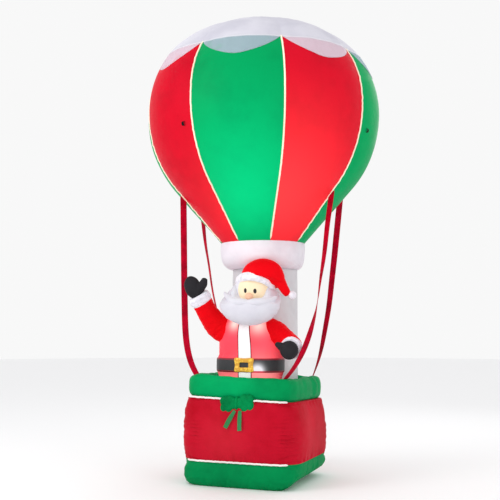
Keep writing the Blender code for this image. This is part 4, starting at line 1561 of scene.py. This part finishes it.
        def place(u: float, v: float) -> Vector:
            """Point of the ribbon, top first.

            Args:
                u: Share of the way round or across.
                v: Share of the way along.

            Returns:
                The point in metres.
            """
            down = v * self.tail_length
            slope = 1.0 - v
            out = self.body_swell * 0.55 * slope * slope + 0.002
            flare = 0.7 + 0.3 * min(1.0, v * 2.0)
            tip = 0.004 * (u - 0.5) * max(0.0, v - 0.8) / 0.2
            sway = 0.0035 * math.sin(v * 5.0 + side.value) * (u - 0.5) * 2.0
            local = Vector(((u - 0.5) * self.tail_width * flare, out + sway, -down + tip))
            return hinge + Matrix.Rotation(splay, 3, "Y") @ local

        shape = strip(10, 36, place)
        piece = make_piece(f"{node}_ribbon", shape, (green,), Slot.GREEN, (node,))
        walled(piece, 0.0022)

    def build(self) -> None:
        """Every piece of the basket."""
        self.build_base()
        self.build_body()
        self.build_rim()
        self.build_pipings()
        self.build_bow()


# Straps


@dataclass
class Straps:
    """Four flat red straps between the envelope's seams and the rim's corners."""

    envelope: Envelope
    basket: Basket
    width: float = 0.050
    top: float = 2.235
    sink: float = 0.012

    def centre(self, node: str, seam: int, corner: tuple[int, int], straight: float,
               power: float, share: float) -> Vector:
        """Middle of a strap at a share of its height.

        Args:
            node: The strap's node.
            seam: Seam that it is sewn to.
            corner: Corner of the basket, as signs of x and y.
            straight: Share of the run that is straight.
            power: Power of the bowed rest.
            share: Share of the height, from the top.

        Returns:
            The point in metres.
        """
        heading = self.envelope.seam_heading(seam)
        radius = self.envelope.radius_at(self.top) * (1.0 - self.envelope.seam_depth) - 0.004
        high = Vector((math.sin(heading) * radius, -math.cos(heading) * radius, self.top))
        reach = self.basket.rim_line() * math.cos(math.pi / 4.0) ** (2.0 / self.basket.power)
        low = Vector((self.basket.x + corner[0] * reach, corner[1] * reach, 0.0))
        low.z = self.basket.rim_top(low.x, low.y) - self.sink
        run = straight * share + (1.0 - straight) * share**power
        middle = high.lerp(low, run)
        if node == "strap_front_right":
            middle.y = high.y + (low.y - high.y) * share
        middle.z = high.z + (low.z - high.z) * share
        return middle

    def build(self) -> None:
        """The four straps."""
        plans = (
            ("strap_front_left", -2, (-1, -1), 0.20, 10.0,
             ((0.0, -60.0), (0.4, -72.0), (1.0, -80.0))),
            ("strap_back_left", -3, (-1, 1), 0.60, 2.6,
             ((0.0, -105.0), (0.3, -138.0), (1.0, -150.0))),
            ("strap_front_right", 1, (1, -1), 0.40, 6.0,
             ((0.0, 75.0), (0.35, 55.0), (0.59, 20.0), (0.8, -45.0), (1.0, -20.0))),
            ("strap_back_right", 2, (1, 1), 0.65, 5.0,
             ((0.0, 120.0), (0.4, 85.0), (0.8, 60.0), (1.0, 20.0))),
        )
        webbing = Webbing("strap_webbing", (0.62, 0.001, 0.026))
        for node, seam, corner, straight, power, turns in plans:
            fine = np.linspace(0.0, 1.0, 201)
            eased = smoothed(np.interp(fine, *zip(*turns)), 25)

            def centre(share: float) -> Vector:
                """Middle of this strap."""
                return self.centre(node, seam, corner, straight, power, share)

            def place(u: float, v: float) -> Vector:
                """Point of the strap."""
                heading = math.radians(float(np.interp(v, fine, eased)))
                across = Vector((math.sin(heading), -math.cos(heading), 0.0)) * self.width
                cup = 0.0022 * math.sin(v * 21.0 + seam) * (2.0 * u - 1.0) ** 2
                side = Vector((-across.y, across.x, 0.0)).normalized()
                return centre(v) + across * (u - 0.5) + side * cup

            spots = [centre(index / 100.0) for index in range(101)]
            length = sum((two - one).length for one, two in zip(spots, spots[1:]))
            shape = strip(6, 140, place)
            piece = make_piece(f"{node}_webbing", shape, (webbing,), Slot.WEBBING, (node,))
            walled(piece, 0.0026)
            LOG.info("%s: %.3f m long", node, length)


# Figure


@dataclass
class Figure:
    """Bearded man in a red coat, one arm raised in a black mitten."""

    basket: Basket
    x: float = -0.042
    y: float = -0.183
    trim: float = 0.006
    trim_edges: tuple[float, float] = (-0.042, 0.062)
    belt_proud: float = 0.012
    buckle_proud: float = 0.020
    power: float = 2.25
    sections: tuple[tuple[float, float, float, float], ...] = (
        (0.012, 0.243, 0.128, 0.006),
        (0.10, 0.257, 0.142, 0.006),
        (0.21, 0.262, 0.146, 0.006),
        (0.32, 0.262, 0.146, 0.006),
        (0.42, 0.256, 0.145, 0.003),
        (0.50, 0.242, 0.140, -0.004),
        (0.57, 0.221, 0.128, -0.006),
        (0.63, 0.180, 0.108, -0.002),
        (0.68, 0.112, 0.076, 0.005),
    )

    def point(self, x: float, y: float, z: float) -> Vector:
        """A place from offsets to the figure's foot."""
        return Vector((self.x + x, self.y + y, self.basket.top + z))

    def stations(self, rows: Sequence[Sequence[float]]) -> list[tuple[float, float, float, float]]:
        """Tube stations from offsets to the foot and radii."""
        return [(*self.point(*row[:3]), row[3]) for row in rows]

    def section(self, height: float) -> tuple[float, float, float]:
        """Half width, half depth and shift of the coat at a height, smoothed.

        Args:
            height: Height over the panel.

        Returns:
            Half width, half depth and shift.
        """
        keys, *columns = zip(*self.sections)
        steps = (-0.02, -0.01, 0.0, 0.01, 0.02)
        return tuple(
            sum(float(np.interp(height + step, keys, values)) for step in steps) / len(steps)
            for values in columns
        )

    def coat_point(self, turn: float, height: float, grow: float) -> Vector:
        """Point on the coat's form, grown outwards.

        Args:
            turn: Angle round the coat.
            height: Height over the panel.
            grow: Distance outside the form.

        Returns:
            The point in metres.
        """
        wide, deep, shift = self.section(height)
        return self.point(shift, 0.0, height) + Vector((
            (wide + grow) * spread(math.cos(turn), self.power),
            (deep + grow) * spread(math.sin(turn), self.power),
            0.0,
        ))

    def pushed(self, point: Vector, height: float, move: float) -> Vector:
        """A point moved away from the coat's middle line."""
        return point + (point - self.point(0.0, 0.0, height)).normalized() * move

    def wrinkled(self, point: Vector, turn: float, height: float) -> float:
        """Outward shift of the coat's cloth: gathers at the belt, creases up to the arms.

        Args:
            point: Point of the coat.
            turn: Angle round the coat.
            height: Height over the panel.

        Returns:
            The shift.
        """
        belt = bell(height, 0.05, 0.20) + bell(height, 0.05, 0.33)
        fold = 0.008 * belt * creased(point, 0.030, True, 4.0)
        fold += 0.006 * creased(point, 0.085, False, 2.0) + 0.004 * creased(point, 0.05, True, 7.0)
        placket = bell(point.x, 0.075, self.x) if math.sin(turn) < 0.0 else 0.0
        return fold * (1.0 - placket)

    def build_coat(self) -> None:
        """The coat from its hem to the neck."""
        along = 92

        def place(u: float, row: int) -> Vector:
            """Point of the coat.

            Args:
                u: Share of the way round.
                row: Number of the row of points.

            Returns:
                The point in metres.
            """
            turn = TURN * u
            share = (row - 1) / (along - 2.0)
            height = 0.002 + 0.678 * share
            point = self.coat_point(turn, height, 0.0)
            point = self.pushed(point, height, self.wrinkled(point, turn, height))
            if row == 1:
                point.z = self.basket.panel_height(point.x, point.y) + CLEAR
            return point

        def sewn(spot: Vector) -> bool:
            """Whether a point lies at the hem, the neck, under the belt or under the front trim.

            Args:
                spot: The point.

            Returns:
                True where it is held.
            """
            height = spot.z - self.basket.top
            belted = 0.200 < height < 0.328
            trimmed = abs(spot.x - self.x - 0.016) < 0.060 and spot.y < self.y
            return height < 0.012 or height > 0.66 or belted or trimmed

        foot = self.point(0.0, 0.0, 0.0)
        foot.z = self.basket.panel_height(foot.x, foot.y) + CLEAR
        shape = capped(176, along, foot, self.point(0.005, 0.0, 0.682), place)
        shape = blown(shape, sewn, cap=0.008, growth=0.02)
        pad("coat_cloth_piece", "coat", Slot.RED, shape, CoatCloth())

    def turn_at(self, x: float) -> float:
        """Turn on the coat's front at a place across it."""
        share = min(1.0, max(-1.0, x / self.sections[2][1]))
        return -math.acos(math.copysign(abs(share) ** (self.power / 2.0), share))

    def build_placket(self) -> None:
        """White front trim, a padded band down the coat."""
        low, high = 0.03, 0.60
        around = 30
        inner = 0.001
        start, end = (self.turn_at(x) for x in self.trim_edges)

        def place(u: float, v: float) -> Vector:
            """Point round the band's section.

            Args:
                u: Share of the way round or across.
                v: Share of the way along.

            Returns:
                The point in metres.
            """
            out, rise = boxed(TURN * v, 3.4, 5.5)
            close = min(1.0, min(u, 1.0 - u) * around / 2.0)
            height = low + (high - low) * (0.5 + (rise - 0.5) * (0.02 + 0.98 * close))
            grow = inner + (self.trim - inner) * out * close
            point = self.coat_point(start + (end - start) * u, height, grow)
            puff = math.sin(math.pi * clamp((height - low) / (high - low)))
            soft = 0.0016 * creased(point, 0.05, True, 3.0) * out
            return self.pushed(point, height, soft + 0.002 * puff * out * close)

        white = Taffeta(
            "placket_cloth", (0.82, 0.80, 0.81), (0.74, 0.71, 0.73), (1.0, 0.97, 0.95),
            (), 0.24, 0.5,
        )
        pad("placket", "coat_trim", Slot.WHITE, rolled(around, 180, place), white)

    def build_trim_shadow_lines(self) -> None:
        """Thin dark red lines along both edges of the front trim: painted shadow in the seams where
        the trim meets the coat.
        """
        tubes = []
        for x in self.trim_edges:
            stations = []
            for index in range(61):
                height = 0.035 + 0.56 * index / 60.0
                spot = self.coat_point(self.turn_at(x), height, self.trim * 0.55)
                stations.append((*spot, 0.0032))
            tubes.append(swept(stations, 8, 120, smooth=False))
        # Painted shade: this dark red stands for the shadow in the seams beside the trim, not for a
        # cloth of its own.
        dark = Taffeta("seam_shadow_line", (0.30, 0.004, 0.014), (0.20, 0.003, 0.010), roughness=0.6)
        make_piece("trim_shadow_lines", joined(tubes), (dark,), Slot.RED)

    def build_belt(self) -> None:
        """Padded belt round the coat, bent out round the column that stands behind."""
        inner = -0.010
        column = Vector((-0.005, 0.062))
        column_reach = 0.2635

        def place(u: float, v: float) -> Vector:
            """Point of the belt.

            Args:
                u: Share of the way round or across.
                v: Share of the way along.

            Returns:
                The point in metres.
            """
            out, rise = boxed(TURN * v, 3.6, 6.0)
            height = 0.210 + 0.108 * rise
            point = self.coat_point(TURN * u, height, inner + (self.belt_proud - inner) * out)
            point = self.pushed(point, height, 0.003 * creased(point, 0.05, True, 5.0) * out)
            away = point.xy - column
            if away.length < column_reach:
                point.xy = column + away.normalized() * column_reach
            return point

        pad("belt_band", "belt", Slot.BLACK, rolled(260, 36, place), BeltCloth())

    def build_buckle(self) -> None:
        """Square buckle with swollen corners and a dark window."""
        middle_x, middle_z = 0.008, 0.268
        half_x, half_z = 0.074, 0.0535
        hole_x, hole_z = 0.0340, 0.019

        def place(u: float, v: float) -> Vector:
            """Point of the frame.

            Args:
                u: Share of the way round or across.
                v: Share of the way along.

            Returns:
                The point in metres.
            """
            heading = TURN * u
            cos, sin = math.cos(heading), math.sin(heading)
            reach = 1.0 / (abs(cos) ** 9.0 + abs(sin) ** 9.0) ** (1.0 / 9.0)
            corner = abs(math.sin(2.0 * heading)) ** 2.5
            out, front = boxed(TURN * v, 3.0, 2.6)
            wide = 0.95 + 0.075 * corner
            x = middle_x + reach * cos * (hole_x + (half_x * wide - hole_x) * out)
            height = middle_z + reach * sin * (hole_z + (half_z * wide - hole_z) * out)
            proud = self.belt_proud - 0.001 + (self.buckle_proud - self.belt_proud + 0.001) * front
            proud += 0.0035 * corner * front
            return self.coat_point(self.turn_at(x), height, proud)

        pad("buckle_frame", "buckle", Slot.GOLD, rolled(200, 24, place), BuckleCloth())

    def sleeve(self, name: str, node: str, rows: Sequence[Sequence[float]], seed: float) -> None:
        """Puffed sleeve with creases round its bend.

        Args:
            name: Name of the piece.
            node: Node that it stands for.
            rows: Stations of place and radius.
            seed: Place in the noise of its creases.
        """

        def shift(v: float, angle: float) -> float:
            """Creases across the sleeve.

            Args:
                v: Share of the way along.
                angle: Angle round the sleeve.

            Returns:
                The outward shift.
            """
            crease = noise.noise(ring(angle, 1.2, v * 11.0 + seed))
            broad = noise.noise(Vector((math.cos(angle) * 0.8, v * 3.0, seed)))
            return 0.006 * crease * math.sin(math.pi * v) + 0.005 * broad

        placed = self.stations(rows)
        tips = (Vector(placed[0][:3]), Vector(placed[-1][:3]))

        def sewn(spot: Vector) -> bool:
            """Whether a point lies at the shoulder seam or the cuff."""
            return min((spot - tip).length for tip in tips) < 0.088

        shape = blown(swept(placed, 72, 96, shift), sewn, cap=0.008)
        red = Taffeta(
            "sleeve_red", (0.70, 0.001, 0.006), (0.55, 0.001, 0.004), (1.0, 0.01, 0.012),
            (Lamp((-0.21, -0.28, 1.16), 0.15, 0.10),), 0.16, 0.42,
        )
        pad(name, node, Slot.RED, shape, red)

    def cuff(self, name: str, node: str, rows: Sequence[Sequence[float]], seed: float) -> None:
        """Plush cuff.

        Args:
            name: Name of the piece.
            node: Node that it stands for.
            rows: Stations of place and radius.
            seed: Place in the noise of its tufts.
        """

        def shift(v: float, angle: float) -> float:
            """Tufts of the pile."""
            return 0.0028 * noise.noise(ring(angle, 5.0, v * 8.0 + seed))

        shape = swept(self.stations(rows), 80, 48, shift)
        white = Plush("cuff_plush", (0.80, 0.78, 0.86), 0.09)
        pad(name, node, Slot.WHITE, shape, white)

    def mitten(self, name: str, node: str, centre: Point, halves: Point, lean: float, roll: float,
               thumb: Sequence[Sequence[float]]) -> None:
        """Puffed palm with its thumb.

        Args:
            name: Name of the piece.
            node: Node that it stands for.
            centre: Middle of the palm.
            halves: Its half sizes.
            lean: Degrees that it turns about Y.
            roll: Degrees that it turns about X.
            thumb: Stations of the thumb.
        """
        turns = (math.radians(lean), math.radians(roll))
        palm = ball(tuple(self.point(*centre)), halves, *turns, around=64, along=44)
        part = swept(self.stations(thumb), 36, 36)
        black = Taffeta(
            "mitten_black", (0.024, 0.023, 0.026), (0.014, 0.014, 0.016), (0.3, 0.3, 0.34),
            (), 0.02, 0.42,
        )
        skin = melded([palm, part], 0.0034, 4)
        for spot in skin.verts:
            spot.co += spot.normal * 0.0035 * creased(spot.co, 0.045, False, 3.0)
        pad(name, node, Slot.BLACK, skin, black)

    def build_arms(self) -> None:
        """The raised waving arm and the lowered arm held towards the rim."""
        self.sleeve("raised_sleeve_cloth", "raised_sleeve", (
            (-0.115, 0.00, 0.480, 0.082),
            (-0.206, -0.02, 0.516, 0.101),
            (-0.265, -0.065, 0.585, 0.098),
            (-0.312, -0.125, 0.678, 0.084),
            (-0.341, -0.158, 0.756, 0.079),
        ), 1.0)
        self.cuff("raised_cuff_plush", "raised_cuff", (
            (-0.331, -0.152, 0.738, 0.070),
            (-0.337, -0.158, 0.750, 0.086),
            (-0.350, -0.172, 0.776, 0.088),
            (-0.362, -0.184, 0.798, 0.086),
            (-0.366, -0.188, 0.806, 0.066),
        ), 2.0)
        self.sleeve("lowered_sleeve_cloth", "lowered_sleeve", (
            (0.135, 0.00, 0.552, 0.088),
            (0.205, 0.00, 0.528, 0.095),
            (0.272, -0.01, 0.474, 0.090),
            (0.345, -0.04, 0.428, 0.084),
            (0.378, -0.09, 0.405, 0.078),
        ), 5.0)
        self.cuff("lowered_cuff_plush", "lowered_cuff", (
            (0.374, -0.082, 0.407, 0.070),
            (0.376, -0.088, 0.405, 0.083),
            (0.382, -0.120, 0.398, 0.085),
            (0.386, -0.145, 0.392, 0.082),
            (0.387, -0.152, 0.391, 0.062),
        ), 6.0)
        self.mitten(
            "raised_mitten_cloth", "raised_mitten", (-0.390, -0.212, 0.860), (0.068, 0.050, 0.094),
            -24.0, 8.0, (
                (-0.359, -0.210, 0.810, 0.032),
                (-0.325, -0.218, 0.858, 0.037),
                (-0.293, -0.220, 0.900, 0.034),
                (-0.284, -0.220, 0.934, 0.018),
            ),
        )
        self.mitten(
            "lowered_mitten_cloth", "lowered_mitten", (0.392, -0.200, 0.386), (0.070, 0.066, 0.072),
            0.0, 0.0, (
                (0.380, -0.195, 0.390, 0.044),
                (0.330, -0.205, 0.413, 0.036),
                (0.286, -0.210, 0.436, 0.013),
            ),
        )

    def build(self) -> None:
        """Coat, trims and arms."""
        self.build_coat()
        self.build_placket()
        self.build_trim_shadow_lines()
        self.build_belt()
        self.build_buckle()
        self.build_arms()


@dataclass
class Head:
    """Round face with a wide white beard and a soft hat that droops to one side."""

    figure: Figure
    at: Point = (0.066, -0.112, 0.838)
    turn: float = math.radians(8.0)

    def placed(self, shape: bmesh.types.BMesh) -> bmesh.types.BMesh:
        """Move a shape from the head's own frame to its place.

        Args:
            shape: The shape, which is moved.

        Returns:
            The same shape.
        """
        spot = self.figure.point(*self.at)
        move = Matrix.Translation(spot) @ Matrix.Rotation(self.turn, 4, "Z")
        bmesh.ops.transform(shape, matrix=move, verts=shape.verts)
        return shape

    def tip(self) -> Matrix:
        """Turn of the hat band: back, and down to the side of the tail."""
        back = Matrix.Rotation(math.radians(-25.0), 3, "X")
        return Matrix.Rotation(math.radians(6.0), 3, "Y") @ back

    def build_face(self) -> None:
        """Head and nose."""
        head = ball((0.006, 0.0, 0.0), (0.146, 0.128, 0.152), around=96, along=64)
        pad("face", "head", Slot.SKIN, self.placed(head), FaceCloth())
        nose = ball((0.004, -0.134, -0.050), (0.029, 0.028, 0.026), around=40, along=28)
        pink = Taffeta(
            "nose_cloth_pink", (0.80, 0.50, 0.34), (0.70, 0.40, 0.26), (0.95, 0.55, 0.38),
            (), 0.14, 0.42,
        )
        pad("nose_puff", "nose", Slot.NOSE, self.placed(nose), pink)

    def build_beard(self) -> None:
        """Wide round beard with soft puckers at its edge."""
        half_wide, half_tall = 0.236, 0.168
        beard = ball((0.0, 0.0, 0.0), (1.0, 1.0, 1.0), around=144, along=96)
        for spot in beard.verts:
            place = spot.co.copy()
            forward = 0.125 if place.y < 0.0 else 0.035
            away = abs(place.x * half_wide - 0.022)
            side = clamp((away - 0.074) / 0.050) * clamp((0.190 - away) / 0.040)
            back = clamp((place.z + 0.02) / 0.42) * (1.0 - 0.78 * side)
            edge = 1.0 - abs(place.y)
            turn = math.atan2(place.z, place.x)
            pucker = 0.035 * max(0.0, edge - 0.35) * noise.noise(Vector((turn * 7.0, 3.0, 0.0)))
            spot.co.x = place.x * half_wide * (1.0 + pucker) - 0.012
            spot.co.y = place.y * forward - 0.045 + 0.105 * back
            spot.co.z = place.z * half_tall * (1.0 + pucker) - 0.104
        white = Taffeta("beard_white", (0.68, 0.67, 0.73), (0.58, 0.57, 0.64), (0.85, 0.84, 0.92),
                        (Lamp((0.02, -0.42, 1.32), 0.16, 0.07),), 0.05, 0.5)
        pad("beard_cloth", "beard", Slot.WHITE, self.placed(beard), white)
        lobes = []
        for side in (-1, 1):
            rise = 0.024 if side < 0 else -0.012
            rows = (
                (-0.022 * side, -0.144, -0.098, 0.016),
                (0.030 * side, -0.150, -0.096, 0.029),
                (0.095 * side, -0.142, -0.094, 0.031),
                (0.155 * side, -0.107, -0.080 + rise * 0.4, 0.026),
                (0.208 * side, -0.066, -0.038 + rise, 0.010),
            )
            lobes.append(swept(rows, 40, 72))
        pad("moustache_puff", "moustache", Slot.WHITE, self.placed(melded(lobes, 0.0032, 4)), white)

    def build_hat(self) -> None:
        """Hat with its plush band, drooping tail and pompom."""
        middle = Vector((0.024, -0.006, 0.046))

        def place(u: float, v: float) -> Vector:
            """Point of the band.

            Args:
                u: Share of the way round or across.
                v: Share of the way along.

            Returns:
                The point in metres.
            """
            angle = TURN * u
            bend = TURN * v
            tuft = 0.003 * noise.noise(ring(angle, 5.0, math.sin(bend) * 1.5) * 1.4)
            reach = 0.128 + (0.026 + tuft) * math.cos(bend)
            return middle + self.tip() @ ring(angle, reach, (0.036 + tuft) * math.sin(bend))

        plush = Plush("hat_plush", (0.82, 0.80, 0.87), 0.10)
        pad("hat_band_plush", "hat_band", Slot.WHITE, self.placed(rolled(144, 40, place)), plush)
        crown = ball((0.089, -0.040, 0.088), (0.171, 0.108, 0.152), around=96, along=64)
        cut = bmesh.ops.bisect_plane(
            crown, geom=crown.verts[:] + crown.edges[:] + crown.faces[:], plane_co=middle,
            plane_no=self.tip() @ Vector((0.0, 0.0, -1.0)), clear_outer=True,
        )
        rim = [edge for edge in cut["geom_cut"] if isinstance(edge, bmesh.types.BMEdge)]
        bmesh.ops.contextual_create(crown, geom=rim)
        tail = swept((
            (0.156, -0.036, 0.104, 0.064),
            (0.215, -0.034, 0.075, 0.046),
            (0.246, -0.034, 0.022, 0.038),
            (0.276, -0.030, -0.026, 0.031),
            (0.286, -0.030, -0.042, 0.020),
        ), 48, 72)
        hat = melded([crown, tail], 0.004, 5)
        for spot in hat.verts:
            spot.co += spot.normal * 0.0045 * creased(spot.co, 0.055, False, 9.0)
        red = Taffeta("hat_red", (0.70, 0.001, 0.006), (0.55, 0.001, 0.004), (1.0, 0.01, 0.015),
                      (Lamp((-0.02, -0.36, 1.62), 0.12, 0.10),), 0.16, 0.42)
        pad("hat_cloth", "hat", Slot.RED, self.placed(hat), red)
        centre = (0.318, -0.026, -0.040)
        tuft = ball(centre, (0.030, 0.030, 0.030), around=72, along=48)
        for spot in tuft.verts:
            out = spot.co - Vector(centre)
            spot.co += out * 0.10 * noise.noise(out * 160.0)
        pad("pompom_plush", "pompom", Slot.WHITE, self.placed(tuft), plush)

    def build(self) -> None:
        """Every piece of the head."""
        self.build_face()
        self.build_beard()
        self.build_hat()


# Studio


@dataclass
class Studio:
    """Pale floor, soft lights and the photograph's camera."""

    heading: float = math.radians(20.5)
    away: float = 7.0
    height: float = 1.23
    lens: float = 62.8
    pitch: float = math.radians(94.76)
    yaw: float = math.radians(21.35)

    def build_floor(self) -> None:
        """Flat round floor of pale white."""
        shape = bmesh.new()
        bmesh.ops.create_circle(shape, cap_ends=True, segments=96, radius=24.0)
        kit = Kit("floor_white")
        kit.feed(kit.shader.inputs["Base Color"], (0.92, 0.92, 0.93))
        kit.feed(kit.shader.inputs["Roughness"], 0.8)
        kit.feed(kit.shader.inputs["Specular IOR Level"], 0.2)
        floor = shown("floor", shape)
        floor.data.materials.append(kit.material)

    def light(self, name: str, place: Point, aim: Point, size: float, power: float) -> None:
        """One large soft lamp.

        Args:
            name: Its name.
            place: Where it stands.
            aim: Point it faces.
            size: Metres across.
            power: Its watts.
        """
        data = bpy.data.lights.new(name, "AREA")
        data.shape = "DISK"
        data.size = size
        data.energy = power
        lamp = bpy.data.objects.new(name, data)
        lamp.location = place
        lamp.rotation_euler = (Vector(aim) - Vector(place)).to_track_quat("-Z", "Y").to_euler()
        bpy.context.scene.collection.objects.link(lamp)

    def build(self) -> None:
        """World, floor, lamps and camera."""
        world = bpy.data.worlds.new("white_room")
        world.use_nodes = True
        sky = world.node_tree.nodes["Background"]
        sky.inputs["Color"].default_value = (1.0, 1.0, 1.0, 1.0)
        sky.inputs["Strength"].default_value = 0.94
        scene = bpy.context.scene
        scene.world = world
        scene.view_settings.view_transform = "Standard"
        self.build_floor()
        self.light("key", (-3.6, -4.6, 4.6), (0.0, 0.0, 1.9), 3.2, 120.0)
        self.light("fill", (5.2, -3.4, 3.0), (0.0, 0.0, 1.6), 3.6, 40.0)
        self.light("back", (1.5, 4.8, 4.4), (0.0, 0.0, 2.2), 3.0, 40.0)
        data = bpy.data.cameras.new("view")
        data.lens = self.lens
        data.sensor_width = 36.0
        camera = bpy.data.objects.new("view", data)
        camera.location = (
            self.away * math.sin(self.heading), -self.away * math.cos(self.heading), self.height
        )
        camera.rotation_euler = (self.pitch, 0.0, self.yaw)
        scene.collection.objects.link(camera)
        scene.camera = camera


def main() -> None:
    """Build and dress the whole object and its studio."""
    logging.basicConfig(level=logging.INFO, format="%(message)s")
    basket = Basket()
    envelope = Envelope(basket)
    figure = Figure(basket)
    envelope.build()
    basket.build()
    Straps(envelope, basket).build()
    figure.build()
    Head(figure).build()
    Studio().build()


if __name__ == "__main__":
    main()
